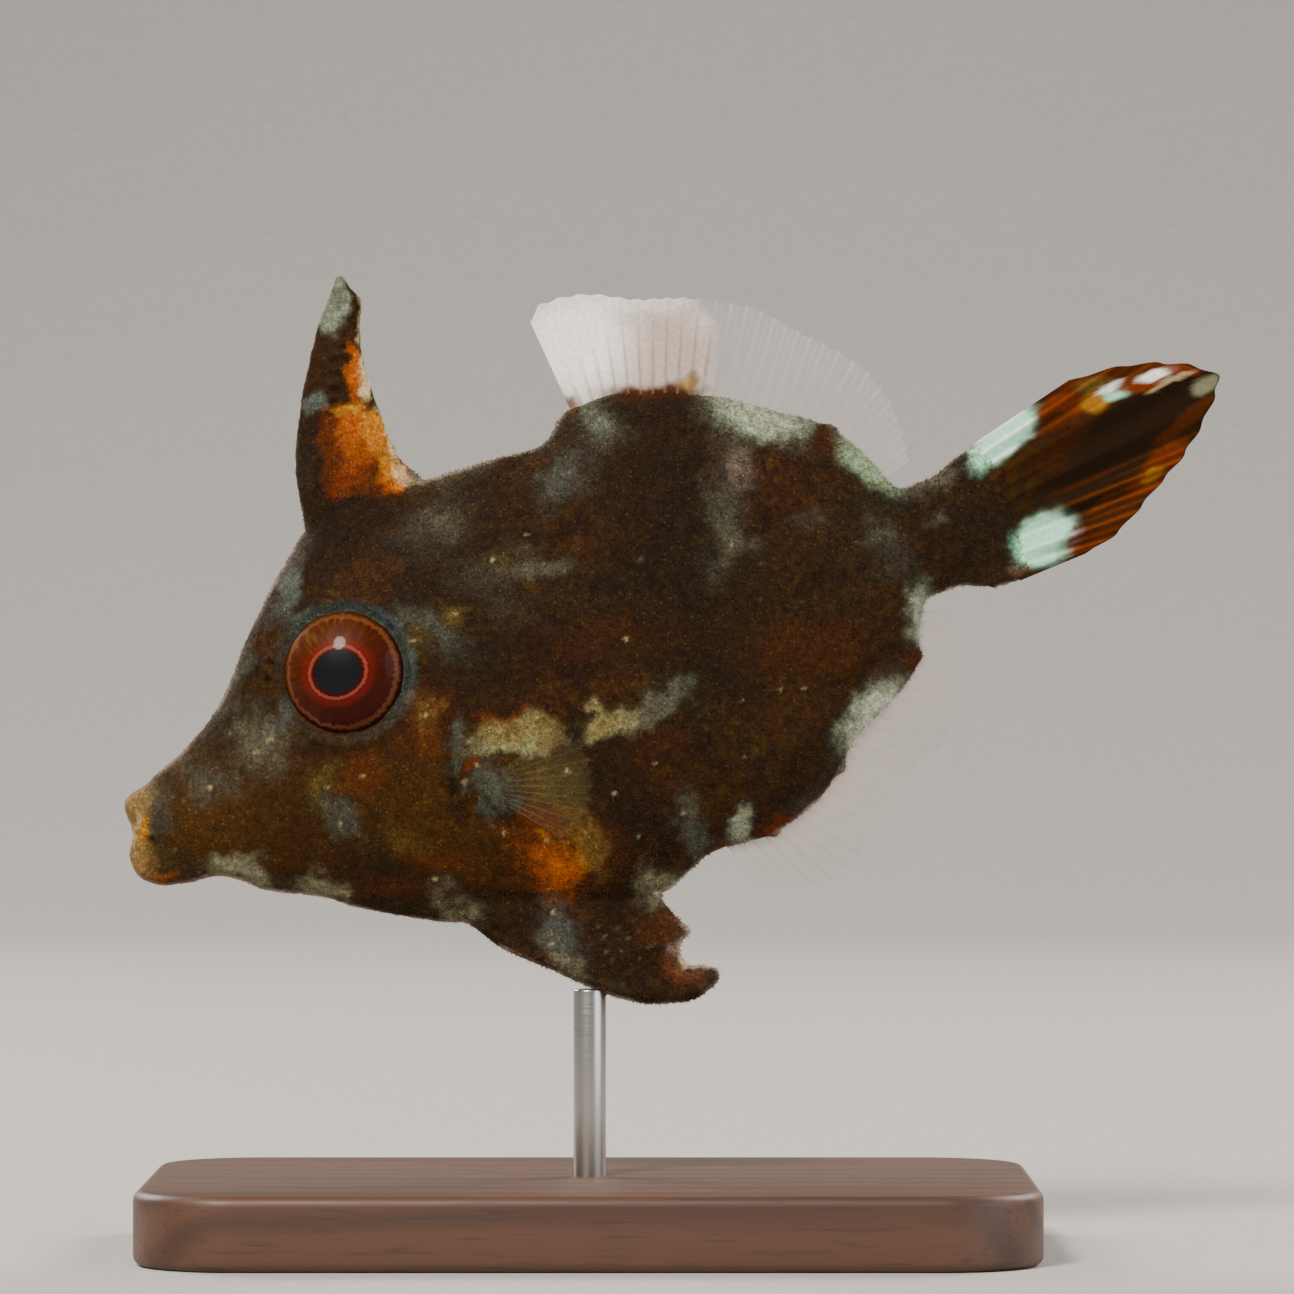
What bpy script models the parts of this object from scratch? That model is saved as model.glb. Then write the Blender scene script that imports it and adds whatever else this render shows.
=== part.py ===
"""A life-size display model of an aiptasia-eating filefish, hovering head down on a small stand.

Sizes are in millimetres and angles in degrees. The fish has its own frame: x runs from the mouth to the
tail, y across the body and z up the back. The empty named fish tilts that frame head down and carries it
over the stand, whose underside has its centre at the origin.
"""

import math

import bmesh
import bpy
import numpy as np
from mathutils import Matrix, Vector

MM = 0.001

# Driving sizes
HEAD_DOWN = 20.0
MOUTH_PLACE = (-30.7, 0.0, 27.8)
GAP = 0.3

# The flesh, as lines along the fish: (distance from the mouth, height) or (distance, half width)
SNOUT_FRONT = 1.75
HEAD_END = 22.7
TORSO_END = 56.4
STALK_END = 62.0
BACK_LINE = (
    (1.6, 3.1), (2.5, 3.5), (5.5, 4.75), (8.5, 6.7), (11.5, 10.0), (16.0, 14.2), (18.5, 15.9), (22.0, 16.2),
    (31.0, 15.9), (34.8, 15.6), (37.3, 17.3), (39.5, 17.4), (43.0, 16.5), (46.0, 15.3), (50.5, 12.5),
    (53.6, 10.2), (55.3, 7.5), (56.6, 4.6), (58.5, 4.6), (61.0, 5.4), (62.4, 5.8),
)
BELLY_LINE = (
    (1.6, -3.95), (2.5, -4.2), (4.0, -4.3), (5.5, -5.1), (7.0, -6.4), (10.0, -7.9), (13.0, -10.0),
    (19.0, -13.1), (23.0, -14.1), (28.0, -15.3), (32.2, -15.7), (36.8, -14.3), (40.0, -14.6), (43.0, -14.0),
    (46.0, -12.4), (48.0, -10.5), (50.5, -9.3), (53.8, -7.1), (54.8, -4.6), (56.2, -3.1), (58.0, -3.2),
    (61.0, -4.2), (62.4, -4.4),
)
SIDE_LINE = ((1.6, -0.3), (8.0, 0.4), (17.0, 3.6), (26.0, 1.0), (36.0, 0.6), (50.0, 0.9), (62.4, 0.7))
HALF_WIDTH = (
    (1.6, 1.62), (2.3, 1.85), (5.0, 2.3), (10.0, 3.2), (17.0, 4.4), (24.0, 5.2), (31.0, 5.0), (38.0, 4.2),
    (46.0, 3.0), (54.0, 1.9), (58.0, 1.6), (62.4, 1.0),
)
LENS_POWER = ((1.6, 0.8), (9.0, 1.05), (20.0, 1.25), (62.4, 1.25))
RING_STEP = 1.05
HEAD_SIDES = 56
TORSO_SIDES = 40
STALK_SIDES = 26

# Swellings and hollows of the skin: (distance, height, spread along, spread up, rise)
BROW = (18.2, 11.6, 4.0, 1.1, 0.35)
CHEEK = (12.5, -1.0, 4.0, 3.0, 0.3)
GILL_COVER = (19.0, -4.0, 2.4, 4.0, 0.35)
NOSTRIL_HOLLOW = (11.6, 7.0, 1.8, 1.0, -0.25)
SHOULDER = (27.0, -4.5, 3.0, 5.0, 0.3)
SWELLINGS = (BROW, CHEEK, GILL_COVER, NOSTRIL_HOLLOW, SHOULDER)

# The head: lips, eyes, nostrils and gill slits
# Each ring of a lip: (distance, top, bottom, half width)
UPPER_LIP = (
    (1.45, 3.12, -0.5, 1.75), (0.95, 3.05, -0.3, 1.7), (0.5, 2.88, 0.15, 1.55), (0.2, 2.68, 0.5, 1.3),
    (0.02, 2.45, 0.95, 0.9), (-0.05, 2.2, 1.4, 0.5),
)
LOWER_LIP = (
    (1.45, -0.92, -3.95, 1.75), (0.8, -0.6, -3.8, 1.75), (0.25, -0.05, -3.5, 1.65),
    (-0.3, -0.28, -3.05, 1.45), (-0.65, -0.62, -2.6, 1.1), (-0.87, -1.0, -2.05, 0.6),
)
LIP_POWER = 0.62
LIP_SIDES = 18
EYE_MIDDLE = (17.3, 3.25, 5.6)
EYE_TURN = (8.0, 6.0)
EYE_RADIUS = 4.05
EYE_DEPTH = 2.1
CORNEA_RISE = 0.25
EYE_SIDES = 28
ORBIT_RADIUS = 4.75
ORBIT_SPREAD = 0.75
ORBIT_RISE = 0.4
NOSTRILS = ((12.1, 7.0), (12.7, 8.0))
NOSTRIL_RADIUS = 0.35
GILL_MIDDLE = (21.8, -2.2)
GILL_LENGTH = 4.4
GILL_WIDTH = 0.7
GILL_LEAN = 14.0

# The first dorsal spine: (distance, height) along its front and rear edges, and the web behind it
SPINE_FRONT = ((17.9, 16.2), (18.4, 19.2), (19.9, 22.8), (21.6, 25.8), (23.6, 28.7), (25.3, 30.6))
SPINE_REAR = ((20.5, 16.4), (21.2, 19.2), (22.3, 22.0), (23.6, 24.7), (25.0, 27.4), (26.5, 29.7))
SPINE_TIP = (25.95, 30.85)
SPINE_HALF_WIDTH = (0.95, 0.45)
SPINE_RINGS = 13
SPINE_SIDES = 10
BARBS = 7
BARB_SPAN = (0.45, 0.93)
BARB_LENGTH = 0.8
BARB_RADIUS = 0.28
BARB_INSET = 0.3
WEB_REAR = ((26.4, 16.3), (25.3, 18.6), (25.1, 22.3), (25.5, 25.8), (26.2, 28.2))
WEB_ROWS = 10
WEB_COLUMNS = 5
WEB_HALF = 0.28

# The fins with rays
MEMBRANE_HALF = 0.25
RAY_RISE = 0.14
MARGIN_NOTCH = 0.3
DORSAL_SPAN = (37.5, 56.0)
DORSAL_RAYS = 29
DORSAL_LENGTHS = (
    (0.0, 5.6), (0.05, 6.2), (0.12, 6.0), (0.22, 5.6), (0.35, 5.8), (0.46, 5.9), (0.6, 5.2), (0.8, 3.9),
    (1.0, 1.6),
)
DORSAL_LEAN = ((0.0, -2.0), (1.0, 8.0))
ANAL_SPAN = (37.2, 55.3)
ANAL_RAYS = 26
ANAL_LENGTHS = ((0.0, 3.2), (0.15, 4.6), (0.55, 4.5), (0.85, 3.0), (1.0, 1.4))
ANAL_LEAN = ((0.0, 30.0), (1.0, 12.0))
EDGE_FIN_ROWS = 5
WAVE_SWING = 0.8
WAVES = 2.3
CAUDAL_ROOT = (5.6, -4.1)
CAUDAL_TIPS = (
    (69.8, 7.5), (72.9, 7.3), (75.6, 6.7), (77.7, 5.8), (79.5, 4.3), (78.6, 2.9), (76.9, 1.2), (75.2, -0.1),
    (73.3, -1.2), (71.2, -2.4), (69.0, -3.5), (66.8, -3.9),
)
CAUDAL_ROWS = 9
CAUDAL_PLEAT = 0.35
PECTORAL_ROOT = (24.3, -5.1)
PECTORAL_BASE_HEIGHT = 1.5
PECTORAL_RAYS = 11
PECTORAL_FAN = 26.0
PECTORAL_LENGTHS = ((0.0, 5.2), (0.35, 6.7), (0.65, 6.4), (1.0, 4.6))
PECTORAL_ROWS = 5
PECTORAL_SPLAY = 24.0
PECTORAL_DROOP = 18.0

# The pelvic flap: (height, distance) down its front and rear edges
FLAP_FRONT = (
    (-12.0, 18.2), (-13.4, 19.2), (-15.4, 20.6), (-18.3, 23.5), (-21.0, 26.4), (-22.6, 29.0), (-23.2, 31.0),
)
FLAP_REAR = (
    (-12.0, 31.2), (-16.4, 32.2), (-17.6, 32.7), (-18.8, 33.2), (-19.3, 32.3), (-20.0, 32.0), (-20.7, 32.2),
    (-21.1, 33.3), (-21.8, 34.1), (-22.6, 33.8), (-23.2, 32.4),
)
FLAP_ROWS = 26
FLAP_HALF_WIDTH = ((-12.0, 1.7), (-16.0, 1.6), (-20.0, 1.45), (-22.6, 1.1), (-23.2, 0.6))
FLAP_PARTING = ((19.2, -13.5), (32.4, -16.9))

# The stand
BASE_LENGTH = 60.0
BASE_DEPTH = 38.0
BASE_HEIGHT = 5.0
BASE_CORNER = 7.0
BASE_CORNER_STEPS = 6
BASE_CHAMFER = 0.8
ROD_RADIUS = 1.1
ROD_SIDES = 24
ROD_HOLE_DEPTH = 3.0
ROD_TOP = 20.5

FINISHES = dict(
    skin=((0.055, 0.032, 0.014), 0.8, 0.0),
    lips=((0.30, 0.22, 0.12), 0.7, 0.0),
    eye=((0.16, 0.03, 0.01), 0.15, 0.0),
    spine=((0.20, 0.10, 0.03), 0.7, 0.0),
    web=((0.55, 0.22, 0.03), 0.6, 0.0),
    clear_fin=((0.80, 0.76, 0.74), 0.4, 0.0),
    tail_fin=((0.20, 0.09, 0.03), 0.5, 0.0),
    wood=((0.07, 0.035, 0.02), 0.4, 0.0),
    steel=((0.62, 0.62, 0.60), 0.3, 1.0),
)


def smooth_line(points, at):
    """Heights at the places in at, on a smooth line through the points that never overshoots them."""
    place, height = np.array(points, float).T
    run = np.diff(place)
    slope = np.diff(height) / run
    same_way = slope[:-1] * slope[1:] > 0
    total = np.where(same_way, slope[:-1] + slope[1:], 1.0)
    inner = np.where(same_way, 2 * slope[:-1] * slope[1:] / total, 0.0)
    tangent = np.concatenate([slope[:1], inner, slope[-1:]])
    at = np.clip(np.asarray(at, float), place[0], place[-1])
    i = np.clip(np.searchsorted(place, at) - 1, 0, len(run) - 1)
    t = (at - place[i]) / run[i]
    ease = t * t * (3 - 2 * t)
    bend = run[i] * (tangent[i] * t * (1 - t) ** 2 - tangent[i + 1] * t * t * (1 - t))
    return height[i] + (height[i + 1] - height[i]) * ease + bend


def swelling(distance, height):
    """How far the brow, the rim of the eye, the cheek and the gill cover lift the skin."""
    round_eye = math.hypot(distance - EYE_MIDDLE[0], height - EYE_MIDDLE[2])
    rise = ORBIT_RISE * math.exp(-(((round_eye - ORBIT_RADIUS) / ORBIT_SPREAD) ** 2))
    for x, z, along, up, most in SWELLINGS:
        rise += most * math.exp(-(((distance - x) / along) ** 2) - ((height - z) / up) ** 2)
    return rise


def lens_ring(distance, top, bottom, side, half, power, sides):
    """A closed outline across the fish, widest at the height side. A greater power thins its edges."""
    turn = np.arange(sides) * 2 * math.pi / sides
    up, across = np.cos(turn), np.sin(turn)
    height = side + np.where(up > 0, top - side, side - bottom) * up
    width = half * np.sign(across) * np.abs(across) ** power
    return [(distance, y, z) for y, z in zip(width, height)]


def flesh_ring(distance, sides, grow=0.0):
    """The outline of the flesh at one distance from the mouth."""
    back = smooth_line(BACK_LINE, distance) + grow
    belly = smooth_line(BELLY_LINE, distance) - grow
    side = smooth_line(SIDE_LINE, distance)
    half = smooth_line(HALF_WIDTH, distance) + grow
    ring = lens_ring(distance, back, belly, side, half, smooth_line(LENS_POWER, distance), sides)
    return [(x, y * (1 + swelling(x, z) / half), z) for x, y, z in ring]


def skin_width(distance, height):
    """How far the skin is from the middle plane, at a distance from the mouth and a height."""
    side = smooth_line(SIDE_LINE, distance)
    edge = smooth_line(BACK_LINE if height > side else BELLY_LINE, distance)
    up = (height - side) / (edge - side)
    half = smooth_line(HALF_WIDTH, distance) + swelling(distance, height)
    return half * (1 - up * up) ** (smooth_line(LENS_POWER, distance) / 2)


def mesh_through(rings):
    """A closed mesh through rings of points, with a flat cap on the first and the last."""
    shape = bmesh.new()
    rows = [[shape.verts.new(point) for point in ring] for ring in rings]
    sides = len(rows[0])
    for row, following in zip(rows, rows[1:]):
        for i in range(sides):
            j = (i + 1) % sides
            shape.faces.new((row[i], row[j], following[j], following[i]))
    shape.faces.new(rows[0][::-1])
    shape.faces.new(rows[-1])
    return closed(shape)


def closed(shape):
    """The bmesh with its doubles merged and its faces turned outwards."""
    bmesh.ops.remove_doubles(shape, verts=shape.verts, dist=1e-4)
    bmesh.ops.recalc_face_normals(shape, faces=shape.faces)
    return shape


def ellipsoid(middle, radii, around=20, rows=10):
    """A closed ellipsoid with its poles up and down."""
    shape = bmesh.new()
    place = Matrix.Translation(middle) @ Matrix.Diagonal((*radii, 1.0))
    bmesh.ops.create_uvsphere(shape, u_segments=around, v_segments=rows, radius=1.0, matrix=place)
    return shape


def turned(profile, place, sides):
    """A closed solid of (radius, height) points spun round +Z and then set in its place."""
    angles = [2 * math.pi * i / sides for i in range(sides)]
    rings = [[(r * math.cos(a), r * math.sin(a), h) for a in angles] for r, h in profile]
    shape = mesh_through(rings)
    shape.transform(place)
    return closed(shape)


def without_side(shape, point, normal):
    """The closed bmesh with all that lies on the normal's side of a plane cut away."""
    everything = shape.verts[:] + shape.edges[:] + shape.faces[:]
    bmesh.ops.bisect_plane(
        shape, geom=everything, dist=1e-5, plane_co=point, plane_no=normal, clear_outer=True
    )
    rim = [edge for edge in shape.edges if edge.is_boundary]
    bmesh.ops.holes_fill(shape, edges=rim, sides=0)
    bmesh.ops.recalc_face_normals(shape, faces=shape.faces)
    return shape


def finish(name):
    """The Principled material of one finish, made once."""
    material = bpy.data.materials.get(name)
    if material is None:
        colour, roughness, metallic = FINISHES[name]
        material = bpy.data.materials.new(name)
        material.use_nodes = True
        shader = material.node_tree.nodes["Principled BSDF"]
        shader.inputs["Base Color"].default_value = (*colour, 1.0)
        shader.inputs["Roughness"].default_value = roughness
        shader.inputs["Metallic"].default_value = metallic
    return material


def solid(name, shape, look, carrier=None):
    """An object from a bmesh in millimetres, with its finish, carried by an empty if one is given."""
    mesh = bpy.data.meshes.new(name)
    shape.transform(Matrix.Scale(MM, 4))
    shape.to_mesh(mesh)
    shape.free()
    mesh.materials.append(finish(look))
    made = bpy.data.objects.new(name, mesh)
    bpy.context.scene.collection.objects.link(made)
    made.parent = carrier
    mesh.shade_smooth()
    mesh.set_sharp_from_angle(angle=math.radians(40))
    return made


def combined(base, shapes, operation):
    """The base object after one Boolean with all the shapes, which are then gone."""
    group = bpy.data.collections.new("operands")
    bpy.context.scene.collection.children.link(group)
    for i, shape in enumerate(shapes):
        operand = solid(f"operand_{i}", shape, "skin")
        bpy.context.scene.collection.objects.unlink(operand)
        group.objects.link(operand)
        operand.parent = base.parent
    change = base.modifiers.new(operation, "BOOLEAN")
    change.operation = operation
    change.operand_type = "COLLECTION"
    change.collection = group
    change.solver = "EXACT"
    bpy.context.view_layer.update()
    result = base.evaluated_get(bpy.context.evaluated_depsgraph_get())
    mesh = bpy.data.meshes.new_from_object(result)
    base.modifiers.clear()
    base.data = mesh
    for operand in list(group.objects):
        bpy.data.objects.remove(operand)
    bpy.data.collections.remove(group)
    return base


def largest_body(mesh_object):
    """The object with only its largest closed surface kept."""
    shape = bmesh.new()
    shape.from_mesh(mesh_object.data)
    left, bodies = set(shape.verts), []
    while left:
        body, front = set(), [left.pop()]
        while front:
            vert = front.pop()
            body.add(vert)
            near = {edge.other_vert(vert) for edge in vert.link_edges} & left
            left -= near
            front.extend(near)
        bodies.append(body)
    keep = max(bodies, key=lambda body: box_volume(body))
    bmesh.ops.delete(shape, geom=[v for v in shape.verts if v not in keep], context="VERTS")
    shape.to_mesh(mesh_object.data)
    shape.free()
    return mesh_object


def box_volume(verts):
    """The volume of the box round some vertices."""
    points = np.array([vert.co for vert in verts])
    return float(np.prod(points.max(axis=0) - points.min(axis=0)))


def clear_scene():
    for old in list(bpy.data.objects):
        bpy.data.objects.remove(old)


def fish_carrier():
    """The empty that tilts the fish head down and holds it over the stand."""
    carrier = bpy.data.objects.new("fish", None)
    bpy.context.scene.collection.objects.link(carrier)
    carrier.location = [size * MM for size in MOUTH_PLACE]
    carrier.rotation_euler = (0, -math.radians(HEAD_DOWN), 0)
    return carrier


def flesh_between(start, end, sides, grow=0.0):
    """The plain flesh from one distance to another, with flat ends."""
    count = max(3, round((end - start) / RING_STEP) + 1)
    return mesh_through([flesh_ring(at, sides, grow) for at in np.linspace(start, end, count)])


def flap_blade(grow=0.0):
    """The pelvic flap with its root sunk in the belly: a blade that is thick at the bone in front."""
    share = np.array([0.0, 0.05, 0.2, 0.45, 0.75, 1.0])
    fullness = np.array([0.0, 0.6, 1.0, 0.95, 0.6, 0.25])
    rings = []
    for height in np.linspace(FLAP_FRONT[0][0], FLAP_FRONT[-1][0], FLAP_ROWS):
        front, rear, half = (
            smooth_line([(-h, size) for h, size in line], -height)
            for line in (FLAP_FRONT, FLAP_REAR, FLAP_HALF_WIDTH)
        )
        along = front - grow + (rear - front + 2 * grow) * share
        outline = list(zip(along, fullness))
        left = [(x, -half * f - grow, height - grow) for x, f in outline]
        right = [(x, half * f + grow, height - grow) for x, f in reversed(outline)]
        rings.append(left + right)
    return mesh_through(rings)


def parting_plane():
    """A point and the downward normal of the plane that parts the pelvic flap from the body."""
    front, rear = (Vector((x, 0, z)) for x, z in FLAP_PARTING)
    run = (rear - front).normalized()
    return front, Vector((run.z, 0, -run.x))


def eye_place(side):
    """Where one eye sits: its own +Z looks outwards, turned a little forwards and upwards."""
    x, y, z = EYE_MIDDLE
    forwards, upwards = (math.radians(angle) for angle in EYE_TURN)
    turn = Matrix.Rotation(-side * (math.pi / 2 - upwards), 4, "X")
    turn = Matrix.Rotation(side * forwards, 4, "Z") @ turn
    return Matrix.Translation((x, side * y, z)) @ turn


def eye_shape(side):
    """One eye, side -1 being the left: an oblate ball with the cornea standing a little proud."""
    profile = []
    for angle in np.linspace(0.06, math.pi - 0.06, 13):
        rise = CORNEA_RISE * math.exp(-((angle / 0.6) ** 2))
        profile.append((EYE_RADIUS * math.sin(angle), EYE_DEPTH * math.cos(angle) + rise))
    return turned(profile, eye_place(side), EYE_SIDES)


def socket_shape(side):
    """What the head loses for one eye."""
    socket = ellipsoid((0, 0, 0), (EYE_RADIUS + GAP, EYE_RADIUS + GAP, EYE_DEPTH + GAP), EYE_SIDES, 16)
    socket.transform(eye_place(side))
    return socket


def nostril_shape(side, place):
    x, z = place
    return ellipsoid((x, side * skin_width(x, z), z), (NOSTRIL_RADIUS,) * 3, 8, 6)


def gill_shape(side):
    """What the head loses for one gill slit."""
    x, z = GILL_MIDDLE
    slit = ellipsoid((0, 0, 0), (GILL_WIDTH / 2, 0.9, GILL_LENGTH / 2), 10, 10)
    lean = Matrix.Rotation(math.radians(GILL_LEAN), 4, "Y")
    slit.transform(Matrix.Translation((x, side * skin_width(x, z), z)) @ lean)
    return slit


def pectoral_base_shape(side, grow=0.0):
    """The fleshy lobe that carries one pectoral fin."""
    x, z = PECTORAL_ROOT
    radii = (1.1 + grow, 0.9 + grow, PECTORAL_BASE_HEIGHT + 0.4 + grow)
    return ellipsoid((x, side * skin_width(x, z), z), radii, 14, 8)


def add_flesh(carrier):
    """Head, torso, tail stalk and pelvic flap: one body, parted with thin cuts."""
    point, down = parting_plane()
    flap = flap_blade()
    half_gap = down * (GAP / 2)
    head_blade, torso_blade = flap.copy(), flap.copy()
    for blade in (head_blade, torso_blade):
        without_side(blade, point - half_gap, down)
    without_side(head_blade, (HEAD_END - GAP / 2, 0, 0), (1, 0, 0))
    without_side(torso_blade, (HEAD_END + GAP / 2, 0, 0), (-1, 0, 0))
    without_side(flap, point + half_gap, -down)

    head = solid("head", flesh_between(SNOUT_FRONT, HEAD_END - GAP / 2, HEAD_SIDES), "skin", carrier)
    combined(head, [head_blade], "UNION")
    hollows = [shape(side) for shape in (socket_shape, gill_shape) for side in (-1, 1)]
    hollows += [nostril_shape(side, place) for side in (-1, 1) for place in NOSTRILS]
    combined(head, hollows, "DIFFERENCE")
    largest_body(head)

    torso = flesh_between(HEAD_END + GAP / 2, TORSO_END - GAP / 2, TORSO_SIDES)
    torso = solid("torso", torso, "skin", carrier)
    combined(torso, [torso_blade, pectoral_base_shape(-1), pectoral_base_shape(1)], "UNION")
    largest_body(torso)

    solid("tail_stalk", flesh_between(TORSO_END + GAP / 2, STALK_END, STALK_SIDES), "skin", carrier)

    solid("pelvic_flap", flap, "skin", carrier)


def add_lips(carrier):
    """The two lips, which meet the snout and each other with a gap that is the line of the mouth."""
    for name, lip in (("upper_lip", UPPER_LIP), ("lower_lip", LOWER_LIP)):
        rings = []
        for distance, top, bottom, half in lip:
            side = (top + bottom) / 2
            rings.append(lens_ring(distance, top, bottom, side, half, LIP_POWER, LIP_SIDES))
        solid(name, mesh_through(rings), "lips", carrier)


def add_eyes(carrier):
    for name, side in (("eye_left", -1), ("eye_right", 1)):
        solid(name, eye_shape(side), "eye", carrier)


def edge_points(edge, count):
    """Points spread evenly from end to end of a smooth edge, given by its own points."""
    points = np.array(edge, float)
    order = np.arange(len(points))
    fine = np.linspace(0, len(points) - 1, 200)
    dense = np.stack([smooth_line(list(zip(order, points[:, k])), fine) for k in (0, 1)], axis=1)
    length = np.concatenate([[0], np.cumsum(np.linalg.norm(np.diff(dense, axis=0), axis=1))])
    even = np.linspace(0, length[-1], count)
    return np.stack([np.interp(even, length, dense[:, k]) for k in (0, 1)], axis=1)


def barb(place, direction):
    """A small cone, from inside the spine out and down."""
    shape = bmesh.new()
    bmesh.ops.create_cone(
        shape, cap_ends=True, segments=5, radius1=BARB_RADIUS, radius2=0.04, depth=BARB_LENGTH
    )
    turn = Vector(direction).to_track_quat("Z", "Y").to_matrix().to_4x4()
    shape.transform(Matrix.Translation(place) @ turn)
    return shape


def add_spine(carrier):
    """The first dorsal spine, with a row of barbs down each rear corner."""
    front = edge_points(SPINE_FRONT, SPINE_RINGS)
    rear = edge_points(SPINE_REAR, SPINE_RINGS)
    turn = np.arange(SPINE_SIDES) * 2 * math.pi / SPINE_SIDES
    rings = []
    for i, (fore, aft) in enumerate(zip(front, rear)):
        middle, reach = (fore + aft) / 2, (aft - fore) / 2
        half = np.interp(i, (0, SPINE_RINGS - 1), SPINE_HALF_WIDTH)
        rings.append([
            (middle[0] + reach[0] * c, half * s, middle[1] + reach[1] * c)
            for c, s in zip(np.cos(turn), np.sin(turn))
        ])
    tip = (SPINE_TIP[0], SPINE_TIP[1])
    rings.append([(tip[0] + 0.12 * c, 0.12 * s, tip[1]) for c, s in zip(np.cos(turn), np.sin(turn))])
    spine = solid("dorsal_spine", mesh_through(rings), "spine", carrier)
    barbs = []
    for share in np.linspace(*BARB_SPAN, BARBS):
        fore, aft = (
            [np.interp(share * (SPINE_RINGS - 1), range(SPINE_RINGS), edge[:, k]) for k in (0, 1)]
            for edge in (front, rear)
        )
        half = np.interp(share, (0, 1), SPINE_HALF_WIDTH)
        for side in (-1, 1):
            x, z = (aft[k] - BARB_INSET * (aft[k] - fore[k]) for k in (0, 1))
            barbs.append(barb((x, side * half * 0.75, z), (0.75, side * 0.7, -0.65)))
    combined(spine, barbs, "UNION")
    largest_body(spine)


def sheet(grid, half):
    """A closed thin sheet: a grid of middle points, each with a half thickness across the body.

    Both faces are split into the same triangles, so that they can't cross where the sheet curves.
    """
    grid, half = np.asarray(grid, float), np.asarray(half, float)
    rows, columns = half.shape
    shape = bmesh.new()
    across = np.array([0.0, 1.0, 0.0])
    faces = []
    for way in (-1, 1):
        points = grid + way * half[..., None] * across
        faces.append([[shape.verts.new(p) for p in row] for row in points])
    left, right = faces
    for r in range(rows - 1):
        for c in range(columns - 1):
            for corners in (((r, c), (r, c + 1), (r + 1, c + 1)), ((r, c), (r + 1, c + 1), (r + 1, c))):
                shape.faces.new([left[i][j] for i, j in corners])
                shape.faces.new([right[i][j] for i, j in reversed(corners)])
    rim = [(0, c) for c in range(columns)] + [(r, columns - 1) for r in range(1, rows)]
    rim += [(rows - 1, c) for c in range(columns - 2, -1, -1)] + [(r, 0) for r in range(rows - 2, 0, -1)]
    for (i, j), (k, m) in zip(rim, rim[1:] + rim[:1]):
        shape.faces.new((left[i][j], right[i][j], right[k][m]))
        shape.faces.new((left[i][j], right[k][m], left[k][m]))
    bmesh.ops.recalc_face_normals(shape, faces=shape.faces)
    return shape


def rayed_fin(roots, tips, rows, sway):
    """A fin with a ridge along each ray. roots and tips are (distance, height) for each ray.

    sway gives how far across the body a point stands, from the ray's share of the fin and of its length.
    """
    columns = 2 * len(roots) - 1
    at = np.arange(columns) / 2
    order = np.arange(len(roots))
    root, tip = (
        np.stack([np.interp(at, order, np.array(ends)[:, k]) for k in (0, 1)], axis=1)
        for ends in (roots, tips)
    )
    between = np.arange(columns) % 2 == 1
    reach = tip - root
    length = np.linalg.norm(reach, axis=1, keepdims=True)
    tip = tip - np.where(between[:, None], reach / length * np.minimum(MARGIN_NOTCH, length / 4), 0)
    grid, half = [], []
    for share in np.linspace(0, 1, rows + 1):
        flat = root + (tip - root) * share
        across = [sway(c / (columns - 1), share, between[c]) for c in range(columns)]
        grid.append([(x, y, z) for (x, z), y in zip(flat, across)])
        half.append(MEMBRANE_HALF + np.where(between, 0, RAY_RISE * (1 - 0.6 * share)))
    return sheet(grid, half)


def edge_fin_rays(line, span, count, lengths, lean, up):
    """Roots and tips of the rays of a fin along the back, up being 1, or along the belly, up being -1."""
    distances = np.linspace(*span, 120)
    heights = smooth_line(line, distances)
    points = edge_points(list(zip(distances, heights))[::6] + [(distances[-1], heights[-1])], count)
    chord = np.gradient(points, axis=0)
    kernel = np.ones(5) / 5
    chord = np.stack([np.convolve(np.pad(chord[:, k], 2, "edge"), kernel, "valid") for k in (0, 1)], axis=1)
    roots, tips = [], []
    for i, (point, run) in enumerate(zip(points, chord)):
        share = i / (count - 1)
        run = run / np.linalg.norm(run)
        out = np.array([-run[1], run[0]]) * up
        turn = math.radians(smooth_line(lean, share))
        direction = out * math.cos(turn) + run * math.sin(turn)
        root = point + out * GAP
        roots.append(root)
        tips.append(root + direction * smooth_line(lengths, share))
    return roots, tips


def wave(share, reach, between):
    """The ripple that runs along the soft dorsal and anal fins."""
    return WAVE_SWING * reach * math.sin(2 * math.pi * WAVES * share)


def pleat(share, reach, between):
    """The folds of the half-closed tail fin."""
    ray = share * (len(CAUDAL_TIPS) - 1)
    open_up = min(1.0, reach * 2.5)
    return 0.0 if between else CAUDAL_PLEAT * open_up * (-1) ** round(ray)


def add_edge_fins(carrier):
    roots, tips = edge_fin_rays(BACK_LINE, DORSAL_SPAN, DORSAL_RAYS, DORSAL_LENGTHS, DORSAL_LEAN, 1)
    solid("soft_dorsal_fin", rayed_fin(roots, tips, EDGE_FIN_ROWS, wave), "clear_fin", carrier)
    roots, tips = edge_fin_rays(BELLY_LINE, ANAL_SPAN, ANAL_RAYS, ANAL_LENGTHS, ANAL_LEAN, -1)
    solid("anal_fin", rayed_fin(roots, tips, EDGE_FIN_ROWS, wave), "clear_fin", carrier)


def add_tail_fin(carrier):
    heights = np.linspace(*CAUDAL_ROOT, len(CAUDAL_TIPS))
    roots = [(STALK_END + GAP, height) for height in heights]
    solid("tail_fin", rayed_fin(roots, CAUDAL_TIPS, CAUDAL_ROWS, pleat), "tail_fin", carrier)


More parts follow.
